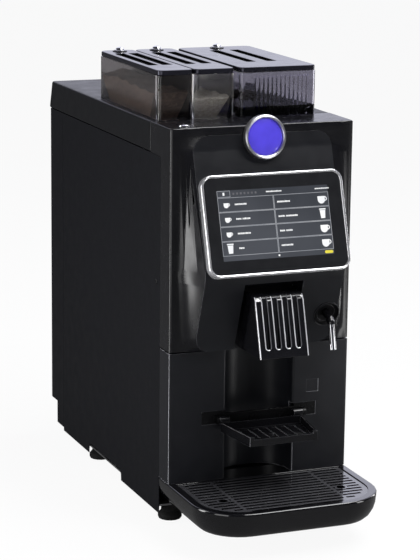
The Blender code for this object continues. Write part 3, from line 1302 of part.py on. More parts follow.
def make_brew_unit():
    place_at = (0, deep(BULKHEAD_DEPTH - BREW_RADIUS - CLEAR), 0)
    top = BREW_BOTTOM + BREW_HEIGHT
    floor = BREW_BOTTOM + BREW_FLOOR
    profile = [(BREW_BORE, top), (BREW_RADIUS, top), (BREW_RADIUS, BREW_BOTTOM), (BREW_DRAIN, BREW_BOTTOM),
               (BREW_DRAIN, floor), (BREW_BORE, floor), (BREW_BORE, top)]
    body = turned("brew_unit_body", profile, MATTE, 16)
    body.location = place_at
    low = floor + PISTON_STROKE + CLEAR
    head = low + PISTON_HEAD
    radius = BREW_BORE - CLEAR
    profile = [(0, top + PISTON_RISE), (PISTON_ROD, top + PISTON_RISE), (PISTON_ROD, head), (radius, head),
               (radius, low), (0, low)]
    piston = turned("brew_piston", profile, WHITE, 16)
    piston.location = place_at


def make_whipper(side):
    left, right = CANISTERS[side]
    x = (left + right) / 2
    y = deep(BOWL_DEPTH)
    z = WHIPPER_LEVEL
    top = BOWL_LEVEL + BOWL_HEIGHT
    floor = BOWL_LEVEL + BOWL_WALL
    inner = BOWL_RADIUS - BOWL_WALL
    profile = [(inner, top), (BOWL_RADIUS, top), (BOWL_RADIUS, BOWL_LEVEL + BOWL_TAPER),
               (BOWL_RADIUS - BOWL_TAPER, BOWL_LEVEL), (BOWL_OUTLET, BOWL_LEVEL), (BOWL_OUTLET, floor),
               (inner - BOWL_TAPER, floor), (inner, floor + BOWL_TAPER), (inner, top)]
    bowl = turned(f"mixing_bowl_{side}", profile, MATTE, 14)
    bowl.location = (x, y, 0)
    hole = WHIPPER_SHAFT + CLEAR
    cut(bowl, tool_rod(f"bowl_hole_{side}", (x, y, z), (x, y + 2 * BOWL_RADIUS, z), hole, 12))
    front = y + BOWL_RADIUS + CLEAR
    end = deep(BULKHEAD_DEPTH) - CLEAR
    motor = rod(f"whipper_motor_{side}", (x, front, z), (x, end, z), WHIPPER_RADIUS, STEEL, 16)
    bore = tool_rod(f"motor_bore_{side}", (x, front - SHELL, z), (x, front + WHIPPER_SOCKET, z), hole, 12)
    cut(motor, bore)
    wheel = rod(f"whipper_{side}", (x, y - WHIPPER_TIP, z), (x, front + WHIPPER_SOCKET - SOCKET_SPARE, z),
                WHIPPER_SHAFT, WHITE, 12)
    for index in range(2):
        vane = tool_block(f"vane_{side}_{index}", (-IMPELLER_RADIUS, -IMPELLER_FRONT, -VANE_HALF),
                          (IMPELLER_RADIUS, IMPELLER_BACK, VANE_HALF))
        vane.location = (x, y, z)
        vane.rotation_euler = (0, index * math.pi / 2, 0)
        join(wheel, vane)


def make_boiler_and_pump():
    depth = deep(BULKHEAD_DEPTH) + SHEET + CLEAR + BOILER_RADIUS
    dome = BOILER_RADIUS * 0.3
    top = BOILER_BOTTOM + BOILER_HEIGHT
    profile = [(0, top), (BOILER_RADIUS * 0.6, top - dome * 0.25), (BOILER_RADIUS, top - dome),
               (BOILER_RADIUS, BOILER_BOTTOM + dome), (BOILER_RADIUS * 0.6, BOILER_BOTTOM + dome * 0.25),
               (0, BOILER_BOTTOM)]
    boiler = turned("boiler", profile, STEEL, 16)
    boiler.location = (BOILER_X, depth, 0)
    low = BASE_TOP + CLEAR
    level = low + PUMP_RADIUS
    start = deep(PUMP_START)
    end = deep(PUMP_START + PUMP_LENGTH)
    pump = rod("pump", (PUMP_X, start, level), (PUMP_X, end, level), PUMP_RADIUS, STEEL, 16)
    foot = tool_block("pump_foot", (PUMP_X - PUMP_RADIUS, start + PUMP_FOOT_END, low),
                      (PUMP_X + PUMP_RADIUS, end - PUMP_FOOT_END, level))
    join(pump, foot)


def make_bin_and_controls():
    low = BASE_TOP + CLEAR
    front = deep(BIN_FRONT)
    back = deep(BIN_REAR)
    outer = block("grounds_bin", (-BIN_HALF, front, low), (BIN_HALF, back, BIN_TOP), MATTE)
    hollow = tool_block("bin_hollow", (SHELL - BIN_HALF, front + SHELL, low + SHELL),
                        (BIN_HALF - SHELL, back - SHELL, BIN_TOP + SHELL))
    cut(outer, hollow)
    left = CLEAR - INNER_HALF
    box = block("control_box", (left, deep(CONTROL_START), low),
                (left + CONTROL_WIDTH, deep(CONTROL_END), CONTROL_TOP), STEEL)
    bevel(box, CONTROL_EDGE)


make_base()
make_feet()
make_side_panels()
make_rear_cover()
make_inlets()
make_top_cover()
make_bulkhead()
make_lower_front()
make_hinge()
NOZZLE = nozzle_frame()
DISH_HOLE = dish_hole()
make_door()
make_centre_panel()
make_display()
make_badge()
make_lock("door_lock", (DOOR_LOCK_X, deep(DOOR_LOCK_DEPTH), DOOR_TOP + CLEAR), 5 * SHELL)
make_spout()
make_nozzle()
make_shelf_bracket()
make_cup_shelf()
make_drip_tray()
make_drip_grille()
for SIDE in CANISTERS:
    make_canister(SIDE)
    make_auger_motor(SIDE)
    make_whipper(SIDE)
    make_lid(SIDE, *CANISTERS[SIDE])
make_bean_hopper()
make_lid("bean", BEAN_LEFT, BEAN_RIGHT)
make_grinder()
make_brew_unit()
make_boiler_and_pump()
make_bin_and_controls()
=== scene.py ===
"""Looks of the countertop coffee machine: finishes, screen graphics, contents and small fasteners.

Metres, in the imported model's frame: +Z up, the front faces -Y.
"""
import math
import random

import bmesh
import bpy
from mathutils import Matrix, Vector, noise


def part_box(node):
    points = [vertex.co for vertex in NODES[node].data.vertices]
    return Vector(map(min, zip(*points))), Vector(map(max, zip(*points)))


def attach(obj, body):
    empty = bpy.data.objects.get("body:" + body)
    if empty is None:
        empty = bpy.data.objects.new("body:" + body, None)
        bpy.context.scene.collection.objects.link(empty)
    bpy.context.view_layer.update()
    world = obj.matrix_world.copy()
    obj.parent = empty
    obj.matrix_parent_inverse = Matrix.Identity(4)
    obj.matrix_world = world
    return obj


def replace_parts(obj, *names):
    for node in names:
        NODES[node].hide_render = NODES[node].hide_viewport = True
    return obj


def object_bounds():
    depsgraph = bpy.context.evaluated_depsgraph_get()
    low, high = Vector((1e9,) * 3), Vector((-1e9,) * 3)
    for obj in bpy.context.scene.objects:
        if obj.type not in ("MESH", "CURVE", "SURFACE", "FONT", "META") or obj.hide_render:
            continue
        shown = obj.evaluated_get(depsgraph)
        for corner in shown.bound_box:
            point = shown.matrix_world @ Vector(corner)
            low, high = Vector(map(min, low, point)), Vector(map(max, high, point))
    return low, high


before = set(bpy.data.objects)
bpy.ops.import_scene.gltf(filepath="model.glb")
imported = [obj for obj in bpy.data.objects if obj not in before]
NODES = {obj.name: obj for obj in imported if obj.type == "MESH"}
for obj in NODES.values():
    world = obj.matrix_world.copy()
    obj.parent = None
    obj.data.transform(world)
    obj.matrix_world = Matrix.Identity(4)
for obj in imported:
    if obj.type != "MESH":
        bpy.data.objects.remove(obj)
CAD_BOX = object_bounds()
SCENE = bpy.context.scene
RANDOM = random.Random(11)
MM = 0.001

# Shader node helpers
NOISE_LOW = 0.3
NOISE_HIGH = 0.7
COAT_ROUGH = 0.04
TONE_DETAIL = 4.0
GRAIN_DETAIL = 2.0
GRAIN_STEP = 0.2 * MM
# Painted light: the noise scale, then the factors and ranges of the paler upward faces and of the paler
# left-facing edges
PAINTED_LIGHT_SCALE = 60
TOP_LIGHT_FACTORS = (0.85, 1.0)
TOP_LIGHT_RANGE = (0.5, 0.95)
LEFT_FACTORS = (-0.9, -1.0)
LEFT_RANGE = (0.15, 0.45)
CLEAR_IOR = 1.4
CLEAR_SHADES = (0.9, 1.05)
CLEAR_ROUGH_VARY = 0.04
FLOW_SCALE = 18
FLOW_DETAIL = 3.0
FLOW_STRETCH = (1, 0.4, 2)
FLOW_DEPTH = 0.04
FLOW_STEP = 0.5 * MM
LCD_SPECULAR = 0.1
LCD_ROUGH = 0.08
LCD_UNLIT = 0.1
LCD_SCALE = 25
LCD_DETAIL = 2.0


def new_material(name):
    mat = bpy.data.materials.new(name)
    mat.use_nodes = True
    return mat, mat.node_tree.nodes, mat.node_tree.links, mat.node_tree.nodes["Principled BSDF"]


def object_noise(nodes, links, scale, detail=3.0, stretch=None):
    """Noise in the piece's own coordinates; stretch scales it along each axis."""
    place = nodes.new("ShaderNodeTexCoord")
    source = place.outputs["Object"]
    if stretch:
        mapping = nodes.new("ShaderNodeMapping")
        mapping.inputs["Scale"].default_value = stretch
        links.new(source, mapping.inputs["Vector"])
        source = mapping.outputs["Vector"]
    tex = nodes.new("ShaderNodeTexNoise")
    tex.inputs["Scale"].default_value = scale
    tex.inputs["Detail"].default_value = detail
    links.new(source, tex.inputs["Vector"])
    return tex.outputs["Fac"]


def ramp(nodes, links, source, low, high, start=NOISE_LOW, end=NOISE_HIGH):
    """Colour from low to high as the source runs from start to end."""
    node = nodes.new("ShaderNodeValToRGB")
    node.color_ramp.elements[0].position = start
    node.color_ramp.elements[0].color = (*low, 1.0)
    node.color_ramp.elements[1].position = end
    node.color_ramp.elements[1].color = (*high, 1.0)
    links.new(source, node.inputs["Fac"])
    return node.outputs["Color"]


def spread(nodes, links, source, low, high, start=NOISE_LOW, end=NOISE_HIGH):
    """Number from low to high as the source runs from start to end."""
    node = nodes.new("ShaderNodeMapRange")
    node.inputs["From Min"].default_value = start
    node.inputs["From Max"].default_value = end
    node.inputs["To Min"].default_value = low
    node.inputs["To Max"].default_value = high
    links.new(source, node.inputs["Value"])
    return node.outputs["Result"]


def combine(nodes, links, operation, *values):
    """Result of a math node on sockets and plain numbers."""
    node = nodes.new("ShaderNodeMath")
    node.operation = operation
    for socket, value in zip(node.inputs, values):
        if isinstance(value, bpy.types.NodeSocket):
            links.new(value, socket)
        else:
            socket.default_value = value
    return node.outputs["Value"]


def add_bump(nodes, links, shader, height, strength, distance):
    bump = nodes.new("ShaderNodeBump")
    bump.inputs["Strength"].default_value = strength
    bump.inputs["Distance"].default_value = distance
    links.new(height, bump.inputs["Height"])
    links.new(bump.outputs["Normal"], shader.inputs["Normal"])


def shade(colour, factor):
    return tuple(c * factor for c in colour)


def surface(name, colour, rough, specular=0.5, metallic=0.0, coat=0.0, grain=900, depth=0.02, vary=0.15,
            mottle=40, stretch=None, rough_vary=0.05):
    """Moulded, painted or metal finish with fine grain, uneven tone and uneven gloss."""
    mat, nodes, links, shader = new_material(name)
    shader.inputs["Metallic"].default_value = metallic
    shader.inputs["Specular IOR Level"].default_value = specular
    shader.inputs["Coat Weight"].default_value = coat
    shader.inputs["Coat Roughness"].default_value = COAT_ROUGH
    tone = object_noise(nodes, links, mottle, TONE_DETAIL, stretch)
    tint = ramp(nodes, links, tone, shade(colour, 1 - vary), shade(colour, 1 + vary))
    links.new(tint, shader.inputs["Base Color"])
    gloss = spread(nodes, links, tone, rough - rough_vary, rough + rough_vary)
    links.new(gloss, shader.inputs["Roughness"])
    height = object_noise(nodes, links, grain, GRAIN_DETAIL, stretch)
    add_bump(nodes, links, shader, height, depth, GRAIN_STEP)
    return mat


def painted_facing_light(mat, axis, factors, plain, painted_tone, start, end):
    """Painted light: a second tone where the faces look along an axis, as a lit side would look; noise
    between two factors makes it uneven.
    """
    nodes = mat.node_tree.nodes
    links = mat.node_tree.links
    place = nodes.new("ShaderNodeTexCoord")
    split = nodes.new("ShaderNodeSeparateXYZ")
    links.new(place.outputs["Normal"], split.inputs["Vector"])
    uneven = spread(nodes, links, object_noise(nodes, links, PAINTED_LIGHT_SCALE), *factors)
    share = combine(nodes, links, "MULTIPLY", split.outputs[axis], uneven)
    tint = ramp(nodes, links, share, plain, painted_tone, start, end)
    links.new(tint, nodes["Principled BSDF"].inputs["Base Color"])
    return mat


def painted_top_light(name, top, side, rough):
    """Finish whose upward faces are painted lighter than the walls between them, a painted highlight on the
    tops.
    """
    mat = surface(name, side, rough, 0.5, coat=0.8, grain=900, depth=0.05)
    return painted_facing_light(mat, "Z", TOP_LIGHT_FACTORS, side, top, *TOP_LIGHT_RANGE)


def lit_edge(name, lit_side, plain):
    """Edge finish painted paler than the body as a painted highlight, and paler still where it faces the
    left of the machine.
    """
    mat = surface(name, plain, 0.22, 0.6, grain=500, depth=0.01)
    return painted_facing_light(mat, "X", LEFT_FACTORS, plain, lit_side, *LEFT_RANGE)


def clear_plastic(name, tint, rough):
    """Smoked clear moulding with faint flow marks."""
    mat, nodes, links, shader = new_material(name)
    shader.inputs["Transmission Weight"].default_value = 1.0
    shader.inputs["IOR"].default_value = CLEAR_IOR
    tone = object_noise(nodes, links, FLOW_SCALE, FLOW_DETAIL, FLOW_STRETCH)
    low, high = (shade(tint, factor) for factor in CLEAR_SHADES)
    links.new(ramp(nodes, links, tone, low, high), shader.inputs["Base Color"])
    links.new(spread(nodes, links, tone, rough, rough + CLEAR_ROUGH_VARY), shader.inputs["Roughness"])
    add_bump(nodes, links, shader, tone, FLOW_DEPTH, FLOW_STEP)
    return mat


def lit(name, low, high, scale=LCD_SCALE):
    """Lit picture element under gloss glass, with a soft uneven back light."""
    mat, nodes, links, shader = new_material(name)
    shader.inputs["Specular IOR Level"].default_value = LCD_SPECULAR
    shader.inputs["Roughness"].default_value = LCD_ROUGH
    tone = object_noise(nodes, links, scale, LCD_DETAIL)
    unlit = ramp(nodes, links, tone, shade(low, LCD_UNLIT), shade(high, LCD_UNLIT))
    links.new(unlit, shader.inputs["Base Color"])
    links.new(ramp(nodes, links, tone, low, high), shader.inputs["Emission Color"])
    shader.inputs["Emission Strength"].default_value = 1.0
    return mat


# Finishes
SIDE_PAINT = surface("side_powder_coat", (0.005, 0.0053, 0.0072), 0.44, 0.16, grain=1400, depth=0.12,
                     vary=0.1)
SATIN = surface("satin_moulding", (0.009, 0.0095, 0.012), 0.36, 0.35, grain=1600, depth=0.08, vary=0.12)
TOP_PAINT = surface("top_paint", (0.004, 0.0043, 0.0056), 0.36, 0.28, grain=1600, depth=0.08, vary=0.12)
GLOSS = surface("gloss_moulding", (0.005, 0.005, 0.0065), 0.24, 0.5, grain=500, depth=0.008, vary=0.15)
LID_GLOSS = surface("lid_gloss", (0.010, 0.010, 0.014), 0.12, 0.45, grain=300, depth=0.006)
# Painted reflection colour: a lavender tint on the lids' reflections
LID_REFLECTION_TINT = (0.8, 0.8, 1.0, 1.0)
LID_GLOSS.node_tree.nodes["Principled BSDF"].inputs["Specular Tint"].default_value = LID_REFLECTION_TINT
MATTE = surface("matte_moulding", (0.008, 0.008, 0.009), 0.4, 0.35, grain=1200, depth=0.12, vary=0.2)
SHELF = surface("shelf_gloss", (0.005, 0.005, 0.006), 0.14, 0.5, grain=700, depth=0.02)
TRAY = surface("tray_gloss", (0.003, 0.003, 0.0038), 0.12, 0.45, coat=0.8, grain=300, depth=0.003)
# Painted highlight: the grille's upward faces are painted paler than its walls
GRILLE = painted_top_light("grille_satin_painted_highlight", (0.060, 0.060, 0.066), (0.002, 0.002, 0.0022), 0.16)
HOOD = surface("hood_gloss", (0.004, 0.004, 0.0052), 0.12, 1.0, coat=0.6, grain=500, depth=0.008)
# Painted highlights: pale and dim beads laid along the hood's slot edges and outer edges
RIB_PAINTED_HIGHLIGHT = surface("rib_painted_highlight", (0.80, 0.80, 0.83), 0.2, metallic=0.3, grain=500, depth=0.002,
                     vary=0.05)
RIB_PAINTED_DIM_HIGHLIGHT = surface("rib_painted_dim_highlight", (0.10, 0.10, 0.11), 0.25, 0.5, grain=500, depth=0.01)
BRACKET = surface("bracket_black", (0.003, 0.003, 0.0035), 0.3, 0.3, grain=900, depth=0.05)
DISH = surface("dish_black", (0.004, 0.004, 0.0046), 0.5, 0.1, grain=700, depth=0.05)
# The dish's ribs are modelled; their paler colour is a painted highlight
DISH_RIB_HIGHLIGHT = surface("dish_rib_highlight", (0.03, 0.03, 0.034), 0.3, 0.5, grain=700, depth=0.02)
# Painted highlight on the rounded edges, brighter on the edges that face left
EDGE_PAINTED_HIGHLIGHT = lit_edge("painted_edge_highlight", (0.60, 0.60, 0.64), (0.10, 0.10, 0.11))
# Painted shade: near-black matte sheets laid inside the lids' finger slots
SLOT_SHADE = surface("slot_painted_shade", (0.002, 0.002, 0.002), 0.8, 0.05, grain=900, depth=0.2)
CHROME = surface("polished_chrome", (0.86, 0.86, 0.88), 0.06, metallic=1.0, grain=120, depth=0.002,
                 vary=0.04, rough_vary=0.02)
SATIN_CHROME = surface("satin_chrome", (0.82, 0.82, 0.84), 0.32, metallic=1.0, grain=120, depth=0.002,
                       vary=0.04)
BEZEL = surface("bezel_silver", (0.86, 0.86, 0.88), 0.2, metallic=0.8, grain=120, depth=0.0005, vary=0.04)
STEEL = surface("brushed_steel", (0.45, 0.45, 0.46), 0.36, metallic=1.0, grain=300, depth=0.05, vary=0.12,
                stretch=(1, 1, 12))
BRASS = surface("nickel_brass", (0.60, 0.52, 0.36), 0.3, metallic=1.0, grain=400, depth=0.03, vary=0.1)
BLUE = surface("badge_enamel", (0.085, 0.06, 0.66), 0.2, 0.5, coat=0.6, grain=200, depth=0.006, vary=0.10)
GLASS = surface("screen_glass_black", (0.015, 0.0155, 0.017), 0.06, 0.25, grain=200, depth=0.002)
RUBBER = surface("foot_rubber", (0.010, 0.010, 0.010), 0.75, 0.2, grain=700, depth=0.3, vary=0.25)
WHITE = surface("white_nylon", (0.68, 0.68, 0.65), 0.4, 0.4, grain=900, depth=0.1, vary=0.06)
SMOKE = clear_plastic("smoked_clear_plastic", (0.35, 0.335, 0.345), 0.03)
SMOKE_DUSTY = clear_plastic("dusty_clear_plastic", (0.84, 0.83, 0.81), 0.08)
SMOKE_DARK = clear_plastic("dark_smoked_plastic", (0.42, 0.41, 0.47), 0.03)
LCD_GREY = lit("lcd_grey", (0.042, 0.046, 0.055), (0.072, 0.077, 0.09), 9)
LCD_LINE = lit("lcd_line", (0.34, 0.36, 0.4), (0.5, 0.51, 0.54))
LCD_WHITE = lit("lcd_white", (0.8, 0.82, 0.85), (0.95, 0.95, 0.95))
LCD_DIM = lit("lcd_dim", (0.10, 0.10, 0.11), (0.18, 0.18, 0.2))
LCD_YELLOW = lit("lcd_yellow", (0.7, 0.6, 0.05), (0.9, 0.8, 0.12))
POWDER_BROWN = surface("brown_powder", (0.44, 0.32, 0.23), 0.9, 0.1, grain=900, depth=0.9, vary=0.35,
                       mottle=220)
POWDER_PALE = surface("pale_powder", (0.48, 0.45, 0.40), 0.9, 0.1, grain=900, depth=0.9, vary=0.3,
                      mottle=220)
BEAN_BROWN = surface("roasted_bean", (0.030, 0.014, 0.007), 0.35, 0.4, grain=500, depth=0.2, vary=0.4,
                     mottle=60)

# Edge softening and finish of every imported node
EDGE_WELD = 0.01 * MM
EDGE_FLAT = math.radians(0.5)
EDGE_ANGLE = math.radians(30)
EDGE_SEGMENTS = 2
CURVED_NODES = ("door_shell", "centre_panel")
CURVED_ANGLE = math.radians(65)
SMOOTH_MARGIN = 1.2
FINISHES = {
    SIDE_PAINT: ("left_side_panel", "right_side_panel", "rear_cover", "control_box"),
    TOP_PAINT: ("top_cover",),
    SATIN: ("lower_front_panel", "centre_panel"),
    GLOSS: ("door_shell",),
    HOOD: ("spout_hood",),
    TRAY: ("drip_tray",),
    GRILLE: ("drip_grille",),
    SHELF: ("cup_shelf", "nozzle_elbow"),
    DISH: ("nozzle_dish",),
    LID_GLOSS: ("lid_left", "lid_middle", "lid_bean"),
    BRACKET: ("shelf_bracket",),
    MATTE: ("display_housing", "mains_inlet", "grounds_bin", "mixing_bowl_left", "mixing_bowl_middle",
            "grinder_body", "brew_unit_body"),
    BEZEL: ("screen_bezel",),
    SATIN_CHROME: ("badge_ring",),
    CHROME: ("door_lock", "nozzle_tube", "lid_lock_left", "lid_lock_middle", "lid_lock_bean"),
    STEEL: ("base_plate", "bulkhead", "hinge_rod", "hinge_bracket_lower", "hinge_bracket_upper",
            "auger_motor_left", "auger_motor_middle", "whipper_motor_left", "whipper_motor_middle",
            "boiler", "pump", "water_inlet", "grinder_burr"),
    BLUE: ("badge_disc",),
    GLASS: ("screen_glass",),
    RUBBER: ("foot_front_left", "foot_front_right", "foot_rear_left", "foot_rear_right"),
    WHITE: ("powder_auger_left", "powder_auger_middle", "whipper_left", "whipper_middle", "brew_piston"),
    SMOKE: ("powder_canister_left",),
    SMOKE_DUSTY: ("powder_canister_middle",),
    SMOKE_DARK: ("bean_hopper",),
}
EDGE_DEFAULT = 0.5 * MM
EDGE_WIDTHS = {
    "centre_panel": 0.8 * MM,
    "drip_tray": 0.8 * MM,
    "badge_ring": 0.0,
    "badge_disc": 0.0,
    "powder_auger_left": 0.0,
    "powder_auger_middle": 0.0,
    "grinder_burr": 0.0,
}
# Nodes whose rounded edges take the painted edge highlight
EDGE_HIGHLIGHTED = ("door_shell", "lower_front_panel", "cup_shelf", "centre_panel")


def shading_group(name, limit):
    """Geometry nodes that shade a welded mesh smooth up to an angle."""
    group = bpy.data.node_groups.new(name, "GeometryNodeTree")
    group.interface.new_socket("Geometry", in_out="INPUT", socket_type="NodeSocketGeometry")
    group.interface.new_socket("Geometry", in_out="OUTPUT", socket_type="NodeSocketGeometry")
    start = group.nodes.new("NodeGroupInput")
    end = group.nodes.new("NodeGroupOutput")
    normal = group.nodes.new("GeometryNodeSetMeshNormal")
    normal.mode = "SHARPNESS"
    normal.inputs["Remove Custom"].default_value = True
    angle = group.nodes.new("GeometryNodeInputMeshEdgeAngle")
    test = group.nodes.new("FunctionNodeCompare")
    test.data_type = "FLOAT"
    test.operation = "GREATER_THAN"
    test.inputs["B"].default_value = limit
    group.links.new(angle.outputs["Unsigned Angle"], test.inputs["A"])
    group.links.new(test.outputs["Result"], normal.inputs["Edge Sharpness"])
    group.links.new(start.outputs[0], normal.inputs["Mesh"])
    group.links.new(normal.outputs["Mesh"], end.inputs[0])
    return group


SMOOTH = shading_group("smooth_shading", EDGE_ANGLE * SMOOTH_MARGIN)
SMOOTH_CURVED = shading_group("smooth_curves", CURVED_ANGLE * SMOOTH_MARGIN)


def soften(obj, width):
    """Weld the facets, merge flat ones, round the sharp edges and shade the rest smooth."""
    weld = obj.modifiers.new("Weld", "WELD")
    weld.merge_threshold = EDGE_WELD
    curved = obj.name in CURVED_NODES
    if not curved:
        flat = obj.modifiers.new("Flat", "DECIMATE")
        flat.decimate_type = "DISSOLVE"
        flat.angle_limit = EDGE_FLAT
    if width:
        round_off = obj.modifiers.new("Round", "BEVEL")
        round_off.width = width
        round_off.segments = EDGE_SEGMENTS
        round_off.limit_method = "ANGLE"
        round_off.angle_limit = CURVED_ANGLE if curved else EDGE_ANGLE
        # The rounded edges take the last material, which is the painted edge highlight on the nodes that
        # have it
        round_off.material = len(obj.data.materials) - 1
    shading = obj.modifiers.new("Shading", "NODES")
    shading.node_group = SMOOTH_CURVED if curved else SMOOTH
    weighted = obj.modifiers.new("Weighted", "WEIGHTED_NORMAL")
    weighted.keep_sharp = True


def finish_nodes():
    for mat, names in FINISHES.items():
        for name in names:
            node = NODES[name]
            node.data.materials.clear()
            node.data.materials.append(mat)
            if name in EDGE_HIGHLIGHTED:
                node.data.materials.append(EDGE_PAINTED_HIGHLIGHT)
            soften(node, EDGE_WIDTHS.get(name, EDGE_DEFAULT))


# Mesh helpers
SHARP_ANGLE = math.radians(40)
SMALL_STEPS = 2
IDENTITY = Matrix()


def piece(bm, name, mat, body, sharp=SHARP_ANGLE):
    """Object from a bmesh that rides on a body."""
    bmesh.ops.recalc_face_normals(bm, faces=bm.faces)
    mesh = bpy.data.meshes.new(name)
    bm.to_mesh(mesh)
    bm.free()
    mesh.shade_smooth()
    mesh.set_sharp_from_angle(angle=sharp)
    mesh.materials.append(mat)
    obj = bpy.data.objects.new(name, mesh)
    SCENE.collection.objects.link(obj)
    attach(obj, body)
    return obj


def box_points(x0, y0, x1, y1):
    return [(x0, y0), (x1, y0), (x1, y1), (x0, y1)]


def round_points(x0, y0, x1, y1, radius, steps=4):
    """Rectangle with rounded corners."""
    points = []
    corners = ((x1 - radius, y1 - radius), (x0 + radius, y1 - radius), (x0 + radius, y0 + radius),
               (x1 - radius, y0 + radius))
    for quarter, (cx, cy) in enumerate(corners):
        for i in range(steps + 1):
            angle = math.pi / 2 * (quarter + i / steps)
            points.append((cx + radius * math.cos(angle), cy + radius * math.sin(angle)))
    return points


def oval_points(cx, cy, rx, ry, steps=16):
    turns = [2 * math.pi * i / steps for i in range(steps)]
    return [(cx + rx * math.cos(turn), cy + ry * math.sin(turn)) for turn in turns]


def bridge(bm, lower, upper):
    """Band of faces between two closed rows of equally many points."""
    for i in range(len(lower)):
        j = (i + 1) % len(lower)
        bm.faces.new((lower[i], lower[j], upper[j], upper[i]))


def put_rings(bm, rings, place):
    """Rows of points for rings of (outline, height), put in place by a matrix."""
    return [[bm.verts.new(place @ Vector((x, y, z))) for x, y in points] for points, z in rings]


def loft(bm, rings, place):
    """Closed skin through rings of equally many points."""
    rows = put_rings(bm, rings, place)
    for lower, upper in zip(rows, rows[1:]):
        bridge(bm, lower, upper)
    bm.faces.new(rows[0])
    bm.faces.new(rows[-1])


def prism(bm, points, low, high, place):
    """Closed plate of an outline between two heights."""
    loft(bm, ((points, low), (points, high)), place)


def hoop(bm, rings, place):
    """Closed hoop through rings of equally many points, the last joined to the first."""
    rows = put_rings(bm, rings, place)
    for lower, upper in zip(rows, rows[1:] + rows[:1]):
        bridge(bm, lower, upper)


def turned_ring(bm, profile, place, steps=32):
    """Closed ring turned from a profile of (radius, height) points."""
    rows = []
    for i in range(steps):
        cos = math.cos(2 * math.pi * i / steps)
        sin = math.sin(2 * math.pi * i / steps)
        rows.append([bm.verts.new(place @ Vector((r * cos, r * sin, z))) for r, z in profile])
    for one, two in zip(rows, rows[1:] + rows[:1]):
        bridge(bm, two, one)


def sweep(bm, path, radius, out, steps=8):
    """Round bead along a path; out is the side that its section starts from."""
    turns = [2 * math.pi * i / steps for i in range(steps)]
    rows = []
    for index, point in enumerate(path):
        ahead = (path[min(index + 1, len(path) - 1)] - path[max(index - 1, 0)]).normalized()
        side = ahead.cross(out).normalized()
        up = side.cross(ahead)
        section = [side * math.cos(turn) + up * math.sin(turn) for turn in turns]
        rows.append([bm.verts.new(point + offset * radius) for offset in section])
    for one, two in zip(rows, rows[1:]):
        bridge(bm, one, two)
    bm.faces.new(rows[0])
    bm.faces.new(rows[-1])


def facing(axis, spot):
    """Matrix whose Z points along an axis, at a spot."""
    return Matrix.Translation(spot) @ Vector(axis).to_track_quat("Z", "Y").to_matrix().to_4x4()


def carved(bm, cutters):
    """Mesh of a solid less its cutters, as a new bmesh."""
    solids = []
    for source in (bm, cutters):
        bmesh.ops.recalc_face_normals(source, faces=source.faces)
        mesh = bpy.data.meshes.new("carving")
        source.to_mesh(mesh)
        source.free()
        solids.append(bpy.data.objects.new("carving", mesh))
        SCENE.collection.objects.link(solids[-1])
    cut = solids[0].modifiers.new("Cut", "BOOLEAN")
    cut.object = solids[1]
    result = bmesh.new()
    result.from_object(solids[0], bpy.context.evaluated_depsgraph_get())
    for solid in solids:
        mesh = solid.data
        bpy.data.objects.remove(solid)
        bpy.data.meshes.remove(mesh)
    return result


# Screen bezel and glass
SCREEN_TILT = math.radians(17.9)
BEZEL_HALF_W = 116 * MM
BEZEL_HALF_H = 77.5 * MM
BEZEL_SHIFT = 3.5 * MM
BEZEL_CORNER = 18 * MM
BEZEL_STEPS = 8
BEZEL_RIM = 4.7 * MM
BEZEL_PROFILE = [(x * MM, z * MM) for x, z in (
    (0.6, -12.0), (0.0, -11.4), (0.0, -1.4), (0.25, -0.2), (0.9, 0.8), (2.0, 1.3), (3.0, 1.1), (4.0, 0.5),
    (4.5, -0.2), (4.7, -1.2), (4.7, -12.0))]
GLASS_GAP = 0.15 * MM
GLASS_EDGE = 0.4 * MM
GLASS_THICK = 5 * MM
GLASS_SHARP = math.radians(20)


def glass_place():
    """Matrix from the plane of the glass to the frame, on the front of the glass."""
    low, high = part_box("screen_glass")
    size = high - low
    cos = math.cos(SCREEN_TILT)
    sin = math.sin(SCREEN_TILT)
    thick = (size.y * cos - size.z * sin) / (cos * cos - sin * sin)
    out = Vector((0, -cos, sin))
    face = (low + high) / 2 + out * (thick / 2)
    turn = Matrix.Rotation(math.pi / 2 - SCREEN_TILT, 4, "X")
    return Matrix.Translation(face) @ turn


def bezel_outline(inset):
    half_w = BEZEL_HALF_W - inset
    half_h = BEZEL_HALF_H - inset
    return round_points(BEZEL_SHIFT - half_w, -half_h, BEZEL_SHIFT + half_w, half_h, BEZEL_CORNER - inset,
                        BEZEL_STEPS)


def make_bezel():
    """Rounded silver frame round the screen, and the glass inside it."""
    place = glass_place()
    bead = bmesh.new()
    hoop(bead, [(bezel_outline(inset), height) for inset, height in BEZEL_PROFILE], place)
    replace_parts(piece(bead, "screen_bezel_bead", BEZEL, "door"), "screen_bezel")
    glass = bmesh.new()
    outer = bezel_outline(BEZEL_RIM + GLASS_GAP)
    inner = bezel_outline(BEZEL_RIM + GLASS_GAP + GLASS_EDGE)
    loft(glass, ((outer, -GLASS_THICK), (outer, -GLASS_EDGE), (inner, 0)), place)
    plate = piece(glass, "screen_glass_plate", GLASS, "door", GLASS_SHARP)
    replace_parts(plate, "screen_glass")


